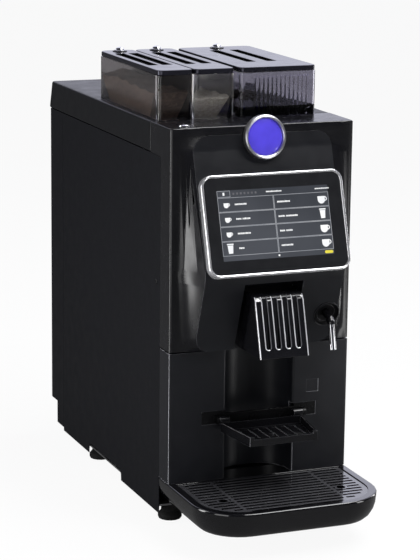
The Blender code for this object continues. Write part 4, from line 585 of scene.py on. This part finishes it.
# Screen picture, measured on the glass; pairs are for the left and the right column
LCD_WIDTH = 181 * MM
LCD_HEIGHT = 106 * MM
LCD_RISE = 0.5 * MM
LCD_SHIFT = 2.3 * MM
LCD_CORNER = 1 * MM
LAYER = 0.15 * MM
LINE = 0.55 * MM
HEADER = 0.10
FOOTER = 0.07
ROWS = 4
COLUMN_GAP = 0.4 * MM
ROW_GAP = 0.3 * MM
ICON_INSET = (13 * MM, 12 * MM)
CUP_SIZE = (8 * MM, 12 * MM)
CUP_DROP = 1 * MM
CUP_LIP = 0.45
CUP_STEPS = 8
HANDLE_SPOT = (0.48, 0.12)
HANDLE_RADII = (0.18, 0.3)
HANDLE_STEPS = 6
TUMBLER_CELLS = ((0, 3), (1, 1))
TUMBLER_SIZE = 12 * MM
TUMBLER_BODY = ((-0.28, -0.6), (0.28, -0.6), (0.38, 0.42), (-0.38, 0.42))
TUMBLER_CAP = (-0.45, 0.48, 0.45, 0.64)
TUMBLER_CORNER = 0.07
LABEL_INSET = (27 * MM, 5 * MM)
LABEL_HEIGHT = 2.4 * MM
LABEL_DASHES = (((9,), (4, 6), (10,), (4,)), ((10,), (5, 9), (4, 5), (9,)))
LABEL_GAP = 1.6 * MM
DASH_WIDTH = 1.3 * MM
DASH_SPREAD = 0.35 * MM
DASH_GAP = 0.5 * MM
DASH_CORNER = 0.3 * MM
DASH_RISE = 0.5
DASH_RISE_TALL = 0.62
HOME_WIDTH = 21 * MM
HOME_GAP = 0.5 * MM
HOME_MARK = (9 * MM, 12 * MM)
HOME_MARK_INSET = 3 * MM
HOME_MARK_CORNER = 0.5 * MM
TITLE_START = -11 * MM
TITLE_DASHES = 12
TITLE_HEIGHT = 2.0 * MM
CORNER_INSET = 21 * MM
CORNER_DASHES = 11
CORNER_HEIGHT = 1.8 * MM
PAGE_DOT = 1.5 * MM
STATUS_COUNT = 7
STATUS_INSET = 25 * MM
STATUS_PITCH = 6 * MM
STATUS_WIDTH = 3 * MM
STATUS_FOOT = 3.5 * MM
STATUS_HEAD = 3.8 * MM
STATUS_CORNER = 0.8 * MM
PILL_INSET = 15 * MM
PILL_EDGE = 1.5 * MM
PILL_CORNER = 1.8 * MM


def mark(bm, points, place):
    """Flat mark on the screen, one layer over its backlight."""
    prism(bm, points, LAYER, 2 * LAYER, place)


def frame_lines(bm, x0, y0, x1, y1, place):
    """Rectangular outline of four thin bars."""
    mark(bm, box_points(x0, y0, x1, y0 + LINE), place)
    mark(bm, box_points(x0, y1 - LINE, x1, y1), place)
    mark(bm, box_points(x0, y0 + LINE, x0 + LINE, y1 - LINE), place)
    mark(bm, box_points(x1 - LINE, y0 + LINE, x1, y1 - LINE), place)


def cup_icon(bm, cx, cy, size, place):
    """Cup seen from the side, with a handle."""
    half = size / 2
    lip = cy + size * CUP_LIP
    turns = [math.pi * (1 + i / CUP_STEPS) for i in range(1, CUP_STEPS)]
    bowl = [(cx - half, lip), (cx - half, cy)]
    bowl += [(cx + half * math.cos(turn), cy + half * math.sin(turn)) for turn in turns]
    bowl += [(cx + half, cy), (cx + half, lip)]
    mark(bm, bowl, place)
    hx = cx + size * HANDLE_SPOT[0]
    hy = cy + size * HANDLE_SPOT[1]
    inner, outer = (size * radius for radius in HANDLE_RADII)
    for i in range(HANDLE_STEPS):
        a = math.pi * (i / HANDLE_STEPS - 0.5)
        b = math.pi * ((i + 1) / HANDLE_STEPS - 0.5)
        corners = ((inner, a), (outer, a), (outer, b), (inner, b))
        mark(bm, [(hx + r * math.cos(turn), hy + r * math.sin(turn)) for r, turn in corners], place)


def tumbler_icon(bm, cx, cy, size, place):
    """Tall glass with a cap."""
    mark(bm, [(cx + size * x, cy + size * y) for x, y in TUMBLER_BODY], place)
    x0, y0, x1, y1 = (size * share for share in TUMBLER_CAP)
    mark(bm, round_points(cx + x0, cy + y0, cx + x1, cy + y1, size * TUMBLER_CORNER), place)


def dash_word(bm, start, middle, count, height, place):
    """Row of short upright dashes that stands for a label; gives back where it ends."""
    foot = middle - height / 2
    for index in range(count):
        end = start + DASH_WIDTH + DASH_SPREAD * ((index * 7 + count) % 3)
        rise = DASH_RISE if (index * 5 + count) % 4 else DASH_RISE_TALL
        mark(bm, round_points(start, foot, end, middle + height * rise, DASH_CORNER, SMALL_STEPS), place)
        start = end + DASH_GAP
    return start


def make_screen():
    place = glass_place() @ Matrix.Translation((LCD_SHIFT, LCD_RISE, 0))
    half_w = LCD_WIDTH / 2
    half_h = LCD_HEIGHT / 2
    top = half_h - HEADER * LCD_HEIGHT
    foot = -half_h + FOOTER * LCD_HEIGHT
    row = (top - foot) / ROWS
    back = bmesh.new()
    prism(back, round_points(-half_w, -half_h, half_w, half_h, LCD_CORNER), 0, LAYER, place)
    piece(back, "lcd_backlight", LCD_GREY, "door")
    lines = bmesh.new()
    icons = bmesh.new()
    labels = bmesh.new()
    columns = ((-half_w, -COLUMN_GAP), (COLUMN_GAP, half_w))
    icon_places = (-half_w + ICON_INSET[0], half_w - ICON_INSET[1])
    for column, (x0, x1) in enumerate(columns):
        for index in range(ROWS):
            y1 = top - row * index
            y0 = y1 - row
            middle = (y0 + y1) / 2
            frame_lines(lines, x0, y0 + ROW_GAP, x1, y1 - ROW_GAP, place)
            if (column, index) in TUMBLER_CELLS:
                tumbler_icon(icons, icon_places[column], middle, TUMBLER_SIZE, place)
            else:
                cup_icon(icons, icon_places[column], middle - CUP_DROP, CUP_SIZE[column], place)
            start = x0 + LABEL_INSET[column]
            for count in LABEL_DASHES[column][index]:
                start = dash_word(labels, start, middle, count, LABEL_HEIGHT, place) + LABEL_GAP
    frame_lines(lines, -half_w, top + HOME_GAP, -half_w + HOME_WIDTH, half_h - HOME_GAP, place)
    home = [-half_w + edge for edge in HOME_MARK]
    mark(labels, round_points(home[0], top + HOME_MARK_INSET, home[1], half_h - HOME_MARK_INSET,
                              HOME_MARK_CORNER), place)
    title = (top + half_h) / 2
    dash_word(labels, TITLE_START, title, TITLE_DASHES, TITLE_HEIGHT, place)
    dash_word(labels, half_w - CORNER_INSET, title, CORNER_DASHES, CORNER_HEIGHT, place)
    mark(labels, oval_points(0, (foot - half_h) / 2, PAGE_DOT, PAGE_DOT), place)
    piece(lines, "lcd_cell_lines", LCD_LINE, "door")
    piece(icons, "lcd_icons", LCD_WHITE, "door")
    piece(labels, "lcd_label_bars", LCD_WHITE, "door")
    dots = bmesh.new()
    for index in range(STATUS_COUNT):
        x = -half_w + STATUS_INSET + STATUS_PITCH * index
        mark(dots, round_points(x, top + STATUS_FOOT, x + STATUS_WIDTH, half_h - STATUS_HEAD,
                                STATUS_CORNER), place)
    piece(dots, "lcd_status_dots", LCD_DIM, "door")
    pill = bmesh.new()
    mark(pill, round_points(half_w - PILL_INSET, -half_h + PILL_EDGE, half_w - PILL_EDGE, foot - PILL_EDGE,
                            PILL_CORNER), place)
    piece(pill, "lcd_yellow_pill", LCD_YELLOW, "door")


# Powder in the canisters, as heights in the frame and distances from the canister's walls
POWDER_WALL = 3.2 * MM
POWDER_NARROW = 16 * MM
POWDER_BOTTOM = 0.609
POWDER_KNEE = 0.660
POWDER_RINGS = (POWDER_BOTTOM, 0.625, 0.640, POWDER_KNEE)
POWDER_SLANT = 42 * MM
POWDER_FRONT = 22 * MM
POWDER_BACK = 9 * MM
POWDER_COLUMNS = 8
POWDER_ROWS = 26
POWDER_WAVE = 9 * MM
POWDER_WAVE_SCALE = 40
POWDER_WAVE_SEED = 90
POWDER_LUMP = 2 * MM
POWDER_LUMP_SCALE = 160
POWDER_WELD = 0.05 * MM
POWDER_LEFT_LEVEL = 0.672
POWDER_MIDDLE_LEVEL = 0.660


def powder(name, node, mat, level):
    """Heap of powder that fills the slanted trough of a canister."""
    low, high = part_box(node)
    middle = (low.x + high.x) / 2
    wide = (high.x - low.x) / 2 - POWDER_WALL
    bm = bmesh.new()

    def section(z):
        """Half width and ends along Y at a height."""
        share = min(max((z - POWDER_BOTTOM) / (POWDER_KNEE - POWDER_BOTTOM), 0.0), 1.0)
        half = POWDER_NARROW + (wide - POWDER_NARROW) * share
        inset = POWDER_SLANT * (1 - min((z - POWDER_BOTTOM) / (level - POWDER_BOTTOM), 1.0))
        return half, low.y + POWDER_FRONT + inset, high.y - POWDER_BACK - inset

    def surface_height(x, y):
        flat = Vector((x, y, 0))
        wave = noise.noise(flat * POWDER_WAVE_SCALE + Vector((0, 0, level * POWDER_WAVE_SEED)))
        lump = noise.noise(flat * POWDER_LUMP_SCALE)
        return level + wave * POWDER_WAVE + lump * POWDER_LUMP

    rings = []
    for z in (*POWDER_RINGS, level):
        half, front, back = section(z)
        across = [2 * half * i / POWDER_COLUMNS for i in range(POWDER_COLUMNS)]
        along = [(back - front) * i / POWDER_ROWS for i in range(POWDER_ROWS)]
        ring = [(middle - half + x, front) for x in across]
        ring += [(middle + half, front + y) for y in along]
        ring += [(middle + half - x, back) for x in across]
        ring += [(middle - half, back - y) for y in along]
        rings.append((ring, z))
    rows = put_rings(bm, rings, IDENTITY)
    for lower, upper in zip(rows, rows[1:]):
        bridge(bm, lower, upper)
    bm.faces.new(rows[0])
    half, front, back = section(level)
    grid = []
    for i in range(POWDER_COLUMNS + 1):
        x = middle - half + 2 * half * i / POWDER_COLUMNS
        steps = [front + (back - front) * j / POWDER_ROWS for j in range(POWDER_ROWS + 1)]
        grid.append([bm.verts.new((x, y, surface_height(x, y))) for y in steps])
    for one, two in zip(grid, grid[1:]):
        for j in range(POWDER_ROWS):
            bm.faces.new((one[j], two[j], two[j + 1], one[j + 1]))
    points = [vert for line in grid for vert in line]
    for edge in rows[-1]:
        near = min(points, key=lambda vert: (vert.co.xy - edge.co.xy).length_squared)
        edge.co.z = near.co.z
    bmesh.ops.remove_doubles(bm, verts=bm.verts, dist=POWDER_WELD)
    piece(bm, name, mat, "cabinet")


# Beans
BEAN_SIZE = Vector((4.6, 3.4, 2.7)) * MM
BEAN_STEPS = 10
BEAN_LEVELS = (-0.25, 0.35, 0.75, 0.97)
BEAN_CREASE = (0.8, 0.12, 0.3)
BEAN_FLAT = (0.9, 0.55, -0.5)
BEAN_PITCH = 7.4 * MM
BEAN_LEVEL = 643 * MM
BEAN_HEAP = Vector((34, 52)) * MM
BEAN_RISE = 5 * MM
BEAN_SHIFT = 1 * MM
BEAN_LIFT = 2 * MM
BEAN_TILT = 0.5
BEAN_SHARP = math.radians(60)


def bean(bm, place):
    """Coffee bean: half an ellipsoid with a crease along its flat side."""
    rings = []
    for level in BEAN_LEVELS:
        share = math.sqrt(1 - level * level)
        outline = oval_points(0, 0, BEAN_SIZE.x * share, BEAN_SIZE.y * share, BEAN_STEPS)
        rings.append((outline, BEAN_SIZE.z * level))
    foot = rings[0][0]
    inside = [([(x * across, y * along) for x, y in foot], BEAN_SIZE.z * level)
              for across, along, level in (BEAN_CREASE, BEAN_FLAT)]
    loft(bm, inside + rings, place)


def bean_fill():
    """Last beans, in a heap over the outlet of the bean hopper."""
    low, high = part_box("bean_hopper")
    middle = (low + high) / 2
    bm = bmesh.new()
    columns = int(BEAN_HEAP.x / BEAN_PITCH)
    rows = int(BEAN_HEAP.y / BEAN_PITCH)
    for i in range(-columns, columns + 1):
        for j in range(-rows, rows + 1):
            share = (i / columns) ** 2 + (j / rows) ** 2
            if share > 1:
                continue
            x = middle.x + i * BEAN_PITCH + RANDOM.uniform(-BEAN_SHIFT, BEAN_SHIFT)
            y = middle.y + j * BEAN_PITCH + RANDOM.uniform(-BEAN_SHIFT, BEAN_SHIFT)
            rise = BEAN_RISE * (1 - share) + RANDOM.uniform(0, BEAN_LIFT)
            turn = Matrix.Rotation(RANDOM.uniform(0, math.tau), 4, "Z")
            side = RANDOM.choice((0, math.pi))
            tilt = Matrix.Rotation(side + RANDOM.uniform(-BEAN_TILT, BEAN_TILT), 4, "X")
            bean(bm, Matrix.Translation((x, y, BEAN_LEVEL + rise)) @ turn @ tilt)
    piece(bm, "bean_fill", BEAN_BROWN, "cabinet", sharp=BEAN_SHARP)


# Lids, with the distance of each lid's two slots from its middle
LID_SLOTS = {"lid_left": 11.4 * MM, "lid_middle": 13.2 * MM, "lid_bean": 17.5 * MM}
LID_CORNER = 11 * MM
LID_STEPS = 6
LID_EDGE = 1.6 * MM
SLOT_HALF = 7.5 * MM
SLOT_FRONT = -63 * MM
SLOT_BACK = 94 * MM
SLOT_DEPTH = 4 * MM
SLOT_CORNER = 2 * MM
SLOT_GAP = 0.2 * MM
SLOT_WALL = 0.4 * MM
LOCK_Y = 125 * MM
LOCK_HOLE = 5.5 * MM
LOCK_STEPS = 24
LOCK_CLEAR = 9.4 * MM
LOCK_RING = 12 * MM
LOCK_SEAT = 0.1 * MM
LOCK_RING_PROFILE = ((LOCK_CLEAR, LOCK_SEAT), (LOCK_RING, LOCK_SEAT), (LOCK_RING - 0.3 * MM, 0.9 * MM),
                     (LOCK_RING - 1.2 * MM, 1.4 * MM), (LOCK_CLEAR, 1.2 * MM))
LOCK_DOME = 7 * MM
LOCK_RISE = 3.4 * MM
LOCK_LEVELS = (0.35, 0.65, 0.85, 0.96)
LOCK_SLIT = (0.8, 0.25)
LOCK_SLIT_LEVELS = (0.97, 0.6)


def slot_outline(x, inset):
    return round_points(x - SLOT_HALF + inset, SLOT_FRONT + inset, x + SLOT_HALF - inset, SLOT_BACK - inset,
                        SLOT_CORNER)


def lid_cover(name, offset):
    """Gloss lid with two finger slots, dark sheets in them as painted shade, and the ring round its lock.
    """
    low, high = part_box(name)
    middle = (low.x + high.x) / 2
    body = bmesh.new()
    prism(body, round_points(low.x, low.y, high.x, high.y, LID_CORNER, LID_STEPS), low.z, high.z, IDENTITY)
    cutters = bmesh.new()
    shade_sheets = bmesh.new()
    hole = oval_points(middle, LOCK_Y, LOCK_HOLE, LOCK_HOLE, LOCK_STEPS)
    prism(cutters, hole, low.z - MM, high.z + MM, IDENTITY)
    foot = high.z - SLOT_DEPTH + SLOT_GAP
    top = high.z - SLOT_GAP
    for x in (middle - offset, middle + offset):
        prism(cutters, slot_outline(x, 0), high.z - SLOT_DEPTH, high.z + MM, IDENTITY)
        outer = slot_outline(x, SLOT_GAP)
        inner = slot_outline(x, SLOT_GAP + SLOT_WALL)
        loft(shade_sheets, ((outer, foot), (outer, top), (inner, top), (inner, foot + SLOT_WALL)), IDENTITY)
    cover = piece(carved(body, cutters), name + "_cover", LID_GLOSS, name)
    soften(cover, LID_EDGE)
    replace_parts(cover, name)
    piece(shade_sheets, name + "_slot_shade_sheets", SLOT_SHADE, name)
    ring = bmesh.new()
    turned_ring(ring, LOCK_RING_PROFILE, Matrix.Translation((middle, LOCK_Y, high.z)))
    piece(ring, name + "_lock_ring", GLOSS, name)


def lock_dome(name):
    """Polished dome with a key slit on the head of a lid lock."""
    low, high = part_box(name)
    spot = Matrix.Translation(((low.x + high.x) / 2, (low.y + high.y) / 2, high.z))
    rings = [(oval_points(0, 0, LOCK_DOME, LOCK_DOME, LOCK_STEPS), LOCK_SEAT)]
    for level in LOCK_LEVELS:
        radius = LOCK_DOME * math.sqrt(1 - level * level)
        rings.append((oval_points(0, 0, radius, radius, LOCK_STEPS), LOCK_RISE * level))
    slit = [(x * LOCK_SLIT[0], y * LOCK_SLIT[1]) for x, y in rings[-1][0]]
    rings += [(slit, LOCK_RISE * level) for level in LOCK_SLIT_LEVELS]
    bm = bmesh.new()
    loft(bm, rings, spot)
    piece(bm, name + "_dome", CHROME, name)


# Hot-water dish, with its ribs as (radius, height)
DISH_TILT = math.radians(20.5)
DISH_LIP = 0.6 * MM
DISH_RIM = 2 * MM
DISH_RINGS = ((20.6 * MM, 1.0 * MM), (14.6 * MM, -3.2 * MM))
DISH_WIRE = 0.35 * MM
DISH_WIRE_STEPS = 8
DISH_STEPS = 40


def dish_rings():
    """Two fine ribs round the inside of the hot-water dish, paler than the dish as a painted highlight."""
    low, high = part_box("nozzle_dish")
    radius = (high.x - low.x) / 2
    sin = math.sin(DISH_TILT)
    cos = math.cos(DISH_TILT)
    centre = Vector(((low.x + high.x) / 2, low.y + DISH_LIP * cos + radius * sin,
                     high.z - DISH_RIM * sin - radius * cos))
    place = facing((0, -cos, -sin), centre)
    bm = bmesh.new()
    for major, height in DISH_RINGS:
        profile = oval_points(major, height, DISH_WIRE, DISH_WIRE, DISH_WIRE_STEPS)
        turned_ring(bm, profile, place, DISH_STEPS)
    piece(bm, "dish_rings", DISH_RIB_HIGHLIGHT, "door")


# Spout hood, with its foot and the centre of its brow as (Y, Z)
HOOD_FOOT = Vector((-303, 290)) * MM
HOOD_BROW = Vector((-263.5, 367)) * MM
HOOD_ROUND = 16 * MM
HOOD_BROW_TURNS = [math.radians(degrees) for degrees in (128, 137, 146, 155, 163)]
HOOD_LEAN = math.radians(16.5)
HOOD_SLOTS = 4
HOOD_PITCH = 16.5 * MM
HOOD_SLOT = 4.5 * MM
HOOD_SLOT_FOOT = 18 * MM
HOOD_BEND_TURNS = [math.radians(degrees) for degrees in range(180, 361, 20)]
HOOD_BRIGHT = 7
HOOD_EDGE = 38.9 * MM
HOOD_BEAD = 0.8 * MM
HOOD_OUT = Vector((0, -1, 0.3)).normalized()


def hood_face(x, rise):
    """Point on the sloping front of the spout hood, at a distance up from its foot."""
    return Vector((x, HOOD_FOOT.x + rise * math.sin(HOOD_LEAN), HOOD_FOOT.y + rise * math.cos(HOOD_LEAN)))


def hood_brow(x):
    """Points down the rounding over the top of the spout hood."""
    round_off = [(HOOD_ROUND * math.cos(turn), HOOD_ROUND * math.sin(turn)) for turn in HOOD_BROW_TURNS]
    return [Vector((x, HOOD_BROW.x + y, HOOD_BROW.y + z)) for y, z in round_off]


def hood_highlight_beads():
    """Beads along the slots and the outer edges of the spout hood that are painted highlights: pale along
    the left side and round the foot of each slot and on the outer edges, dimmer along the right side.
    """
    bright = bmesh.new()
    dim = bmesh.new()
    for index in range(HOOD_SLOTS):
        middle = (index - (HOOD_SLOTS - 1) / 2) * HOOD_PITCH
        curve = [hood_face(middle + HOOD_SLOT * math.cos(turn), HOOD_SLOT_FOOT + HOOD_SLOT * math.sin(turn))
                 for turn in HOOD_BEND_TURNS]
        sweep(bright, hood_brow(middle - HOOD_SLOT) + curve[:HOOD_BRIGHT], HOOD_BEAD, HOOD_OUT)
        sweep(dim, curve[HOOD_BRIGHT:] + hood_brow(middle + HOOD_SLOT)[::-1], HOOD_BEAD, HOOD_OUT)
    for x in (-HOOD_EDGE, HOOD_EDGE):
        sweep(bright, hood_brow(x) + [hood_face(x, MM)], HOOD_BEAD, HOOD_OUT)
    piece(bright, "hood_painted_highlight_beads", RIB_PAINTED_HIGHLIGHT, "spout")
    piece(dim, "hood_painted_dim_highlight_beads", RIB_PAINTED_DIM_HIGHLIGHT, "spout")


# Screws, with the side screw's place as (Y, Z); their heads' sizes are shares of the radius
SCREW_RADIUS = 4 * MM
SCREW_STEPS = 24
SCREW_QUARTER = 6
SCREW_ARM = (0, 1, 5)
SCREW_RINGS = ((1, 0), (1, 0.12), (0.9, 0.26), (0.7, 0.34))
SCREW_CROSS_OUT = 0.52
SCREW_CROSS_IN = 0.17
SCREW_RECESS = (0.36, 0.16)
SIDE_SCREW = (-152 * MM, 387 * MM)
REAR_SCREWS = [(x, z) for x in (-128 * MM, 128 * MM) for z in (100 * MM, 330 * MM, 555 * MM)]


def screw_head(bm, place):
    """Low domed head with a cross recess."""
    rings = []
    for share, height in SCREW_RINGS:
        radius = SCREW_RADIUS * share
        rings.append((oval_points(0, 0, radius, radius, SCREW_STEPS), SCREW_RADIUS * height))
    recess = []
    for i, (x, y) in enumerate(rings[0][0]):
        share = SCREW_CROSS_OUT if i % SCREW_QUARTER in SCREW_ARM else SCREW_CROSS_IN
        recess.append((x * share, y * share))
    rings += [(recess, SCREW_RADIUS * height) for height in SCREW_RECESS]
    loft(bm, rings, place)


def fasteners():
    """Screws of the side panels and of the rear cover."""
    reach = CAD_BOX[1]
    bm = bmesh.new()
    for side in (-1, 1):
        screw_head(bm, facing((side, 0, 0), (side * reach.x, *SIDE_SCREW)))
    piece(bm, "side_screws", MATTE, "cabinet")
    bm = bmesh.new()
    for x, z in REAR_SCREWS:
        screw_head(bm, facing((0, 1, 0), (x, reach.y, z)))
    piece(bm, "rear_cover_screws", STEEL, "cabinet")


# Rear inlets, with the blades' places round the inlet's middle as (X, Z)
INLET_X = 90 * MM
INLET_Z = 110 * MM
BLADE_PLACES = ((0, 7 * MM), (0, -7 * MM), (4 * MM, 0))
BLADE_DEPTH = 17.8 * MM
BLADE_POINTS = round_points(-1 * MM, -2 * MM, 1 * MM, 2 * MM, 0.4 * MM, SMALL_STEPS)
BLADE_LENGTH = 14 * MM
BLADE_TIP_POINTS = round_points(-0.6 * MM, -1.5 * MM, 0.6 * MM, 1.5 * MM, 0.3 * MM, SMALL_STEPS)
BLADE_TIP_LENGTH = 15.5 * MM
THREAD_BORE = 5.95 * MM
THREAD_GROOVE = 5.9 * MM
THREAD_CREST = 5.2 * MM
THREAD_PITCH = 2.0 * MM
THREAD_GROOVE_AT = 0.4 * MM
THREAD_CREST_AT = 1.4 * MM
THREAD_TURNS = 6
THREAD_END = 12.6 * MM
THREAD_INSET = 1 * MM
THREAD_STEPS = 28


def rear_connections():
    """Three blades in the mains inlet and the thread in the water inlet."""
    back = CAD_BOX[1].y
    blades = bmesh.new()
    for x, z in BLADE_PLACES:
        spot = (-INLET_X + x, back - BLADE_DEPTH, INLET_Z + z)
        rings = ((BLADE_POINTS, 0), (BLADE_POINTS, BLADE_LENGTH), (BLADE_TIP_POINTS, BLADE_TIP_LENGTH))
        loft(blades, rings, facing((0, 1, 0), spot))
    piece(blades, "mains_inlet_blades", BRASS, "cabinet")
    profile = [(THREAD_BORE, 0.0)]
    for turn in range(THREAD_TURNS):
        profile.append((THREAD_GROOVE, -THREAD_PITCH * turn - THREAD_GROOVE_AT))
        profile.append((THREAD_CREST, -THREAD_PITCH * turn - THREAD_CREST_AT))
    profile.append((THREAD_BORE, -THREAD_END))
    thread = bmesh.new()
    turned_ring(thread, profile, facing((0, 1, 0), (INLET_X, back - THREAD_INSET, INLET_Z)), THREAD_STEPS)
    piece(thread, "water_inlet_thread", BRASS, "cabinet")


# Camera at the photograph's place, with its long image side as the sensor width
CAMERA_PLACE = (-1.27037, -3.12512, 1.10948)
CAMERA_AZIMUTH = math.radians(22.124)
CAMERA_ELEVATION = math.radians(12.762)
CAMERA_ROLL = math.radians(0.7076)
CAMERA_LENS = 136.89
CAMERA_SENSOR = 36.0


def make_camera():
    flat = Vector((math.cos(CAMERA_AZIMUTH), -math.sin(CAMERA_AZIMUTH), 0))
    ahead = Vector((math.sin(CAMERA_AZIMUTH) * math.cos(CAMERA_ELEVATION),
                    math.cos(CAMERA_AZIMUTH) * math.cos(CAMERA_ELEVATION), -math.sin(CAMERA_ELEVATION)))
    rise = flat.cross(ahead)
    right = flat * math.cos(CAMERA_ROLL) + rise * math.sin(CAMERA_ROLL)
    up = rise * math.cos(CAMERA_ROLL) - flat * math.sin(CAMERA_ROLL)
    data = bpy.data.cameras.new("camera")
    data.lens = CAMERA_LENS
    data.sensor_width = CAMERA_SENSOR
    data.sensor_fit = "AUTO"
    camera = bpy.data.objects.new("camera", data)
    SCENE.collection.objects.link(camera)
    turn = Matrix((right, up, -ahead)).transposed().to_4x4()
    camera.matrix_world = Matrix.Translation(CAMERA_PLACE) @ turn
    SCENE.camera = camera


# Studio
EVEN_COLOUR = (0.93, 0.94, 1.0, 1.0)
EVEN_LEVEL = 0.35
SURROUND = 0.06
WHITE_COLOUR = (1.0, 1.0, 1.0, 1.0)
MIRRORED_TINT = (0.84, 0.85, 1.0, 1.0)
BACKDROP_SIDE = Vector((0.45, 0.75, 0.45)).normalized()
BACKDROP_START = 0.55
BACKDROP_END = 0.85
FLOOR_HALF = 16.0
FLOOR_GRID = 4
FLOOR_SCALE = 6
FLOOR_DETAIL = 2.0
FLOOR_GAP = 0.2 * MM
FLOOR_COLOURS = ((0.86, 0.86, 0.87), (0.9, 0.9, 0.9))
FLOOR_ROUGH = 0.9
FLOOR_GLOW = 0.92
FLOOR_MIRRORED = 0.08


def seen_rays(nodes, links, rays):
    """Rays that see the studio straight or through clear parts, and the same with mirrored ones."""
    seen = combine(nodes, links, "MAXIMUM", rays["Is Camera Ray"], rays["Is Transmission Ray"])
    shown = combine(nodes, links, "MAXIMUM", seen, rays["Is Glossy Ray"])
    return seen, shown


def make_world():
    """White studio for camera, gloss and clear rays; an even soft level for the rest."""
    world = bpy.data.worlds.new("studio")
    world.use_nodes = True
    nodes = world.node_tree.nodes
    links = world.node_tree.links
    nodes.clear()
    rays = nodes.new("ShaderNodeLightPath").outputs
    seen, shown = seen_rays(nodes, links, rays)
    even = nodes.new("ShaderNodeBackground")
    even.inputs["Color"].default_value = EVEN_COLOUR
    even.inputs["Strength"].default_value = EVEN_LEVEL
    white = nodes.new("ShaderNodeBackground")
    tint = nodes.new("ShaderNodeMix")
    tint.data_type = "RGBA"
    tint.inputs["A"].default_value = WHITE_COLOUR
    tint.inputs["B"].default_value = MIRRORED_TINT
    links.new(rays["Is Glossy Ray"], tint.inputs["Factor"])
    links.new(tint.outputs["Result"], white.inputs["Color"])
    direction = nodes.new("ShaderNodeTexCoord")
    toward = nodes.new("ShaderNodeVectorMath")
    toward.operation = "DOT_PRODUCT"
    toward.inputs[1].default_value = BACKDROP_SIDE
    links.new(direction.outputs["Generated"], toward.inputs[0])
    back = spread(nodes, links, toward.outputs["Value"], SURROUND, 1.0, BACKDROP_START, BACKDROP_END)
    links.new(combine(nodes, links, "MAXIMUM", seen, back), white.inputs["Strength"])
    mix = nodes.new("ShaderNodeMixShader")
    links.new(shown, mix.inputs["Fac"])
    links.new(even.outputs["Background"], mix.inputs[1])
    links.new(white.outputs["Background"], mix.inputs[2])
    out = nodes.new("ShaderNodeOutputWorld")
    links.new(mix.outputs["Shader"], out.inputs["Surface"])
    SCENE.world = world


def make_floor():
    """Pale floor that shows white to the camera and keeps a soft shadow."""
    mat, nodes, links, shader = new_material("pale_floor")
    tone = object_noise(nodes, links, FLOOR_SCALE, FLOOR_DETAIL)
    links.new(ramp(nodes, links, tone, *FLOOR_COLOURS), shader.inputs["Base Color"])
    shader.inputs["Roughness"].default_value = FLOOR_ROUGH
    shader.inputs["Specular IOR Level"].default_value = 0.0
    rays = nodes.new("ShaderNodeLightPath").outputs
    seen, shown = seen_rays(nodes, links, rays)
    glow = nodes.new("ShaderNodeEmission")
    strength = combine(nodes, links, "MULTIPLY_ADD", seen, 1 - FLOOR_MIRRORED, FLOOR_MIRRORED)
    links.new(strength, glow.inputs["Strength"])
    mix = nodes.new("ShaderNodeMixShader")
    links.new(combine(nodes, links, "MULTIPLY", shown, FLOOR_GLOW), mix.inputs["Fac"])
    links.new(shader.outputs["BSDF"], mix.inputs[1])
    links.new(glow.outputs["Emission"], mix.inputs[2])
    links.new(mix.outputs["Shader"], nodes["Material Output"].inputs["Surface"])
    bm = bmesh.new()
    bmesh.ops.create_grid(bm, x_segments=FLOOR_GRID, y_segments=FLOOR_GRID, size=FLOOR_HALF)
    mesh = bpy.data.meshes.new("floor")
    bm.to_mesh(mesh)
    bm.free()
    mesh.materials.append(mat)
    floor = bpy.data.objects.new("floor", mesh)
    SCENE.collection.objects.link(floor)
    floor.location.z = CAD_BOX[0].z - FLOOR_GAP


# Soft boxes: name, place, width, height, radiance and colour
STUDIO_CENTRE = Vector((0, -0.1, 0.4))
NEUTRAL = (1, 1, 1)
COOL = (0.85, 0.85, 1.0)
SOFT_BOXES = (
    ("left_strip", (-1.0, 0.02, 0.45), 0.3, 0.9, 6.5, NEUTRAL),
    ("left_front_box", (-1.4, -1.1, 0.50), 0.9, 1.0, 2, NEUTRAL),
    ("right_strip", (1.15, 0.05, 0.35), 0.12, 0.7, 6, NEUTRAL),
    ("right_front_strip", (0.62, -0.72, 0.22), 0.2, 0.4, 4, NEUTRAL),
    ("overhead", (0.75, -0.35, 2.1), 2.4, 1.0, 6, NEUTRAL),
    ("front_top_box", (0.8, -1.3, 2.0), 0.8, 0.45, 7, NEUTRAL),
    ("backdrop_glow", (1.0, 2.1, 1.05), 1.6, 1.0, 0.12, COOL),
)


def soft_box(name, place, width, height, radiance, colour):
    """Soft box that faces the machine; its power follows from its size and radiance."""
    data = bpy.data.lights.new(name, "AREA")
    data.shape = "RECTANGLE"
    data.size = width
    data.size_y = height
    data.energy = radiance * math.pi * width * height
    data.color = colour
    lamp = bpy.data.objects.new(name, data)
    SCENE.collection.objects.link(lamp)
    lamp.location = place
    lamp.rotation_euler = (STUDIO_CENTRE - Vector(place)).to_track_quat("-Z", "Y").to_euler()
    lamp.visible_camera = False


# The scene
finish_nodes()
make_bezel()
make_screen()
powder("powder_fill_left", "powder_canister_left", POWDER_BROWN, POWDER_LEFT_LEVEL)
powder("powder_fill_middle", "powder_canister_middle", POWDER_PALE, POWDER_MIDDLE_LEVEL)
for lid_name, slot_offset in LID_SLOTS.items():
    lid_cover(lid_name, slot_offset)
for lock_name in ("lid_lock_left", "lid_lock_middle", "lid_lock_bean"):
    lock_dome(lock_name)
dish_rings()
hood_highlight_beads()
fasteners()
rear_connections()
bean_fill()
make_camera()
make_world()
make_floor()
for soft_box_row in SOFT_BOXES:
    soft_box(*soft_box_row)
SCENE.view_settings.view_transform = "Standard"
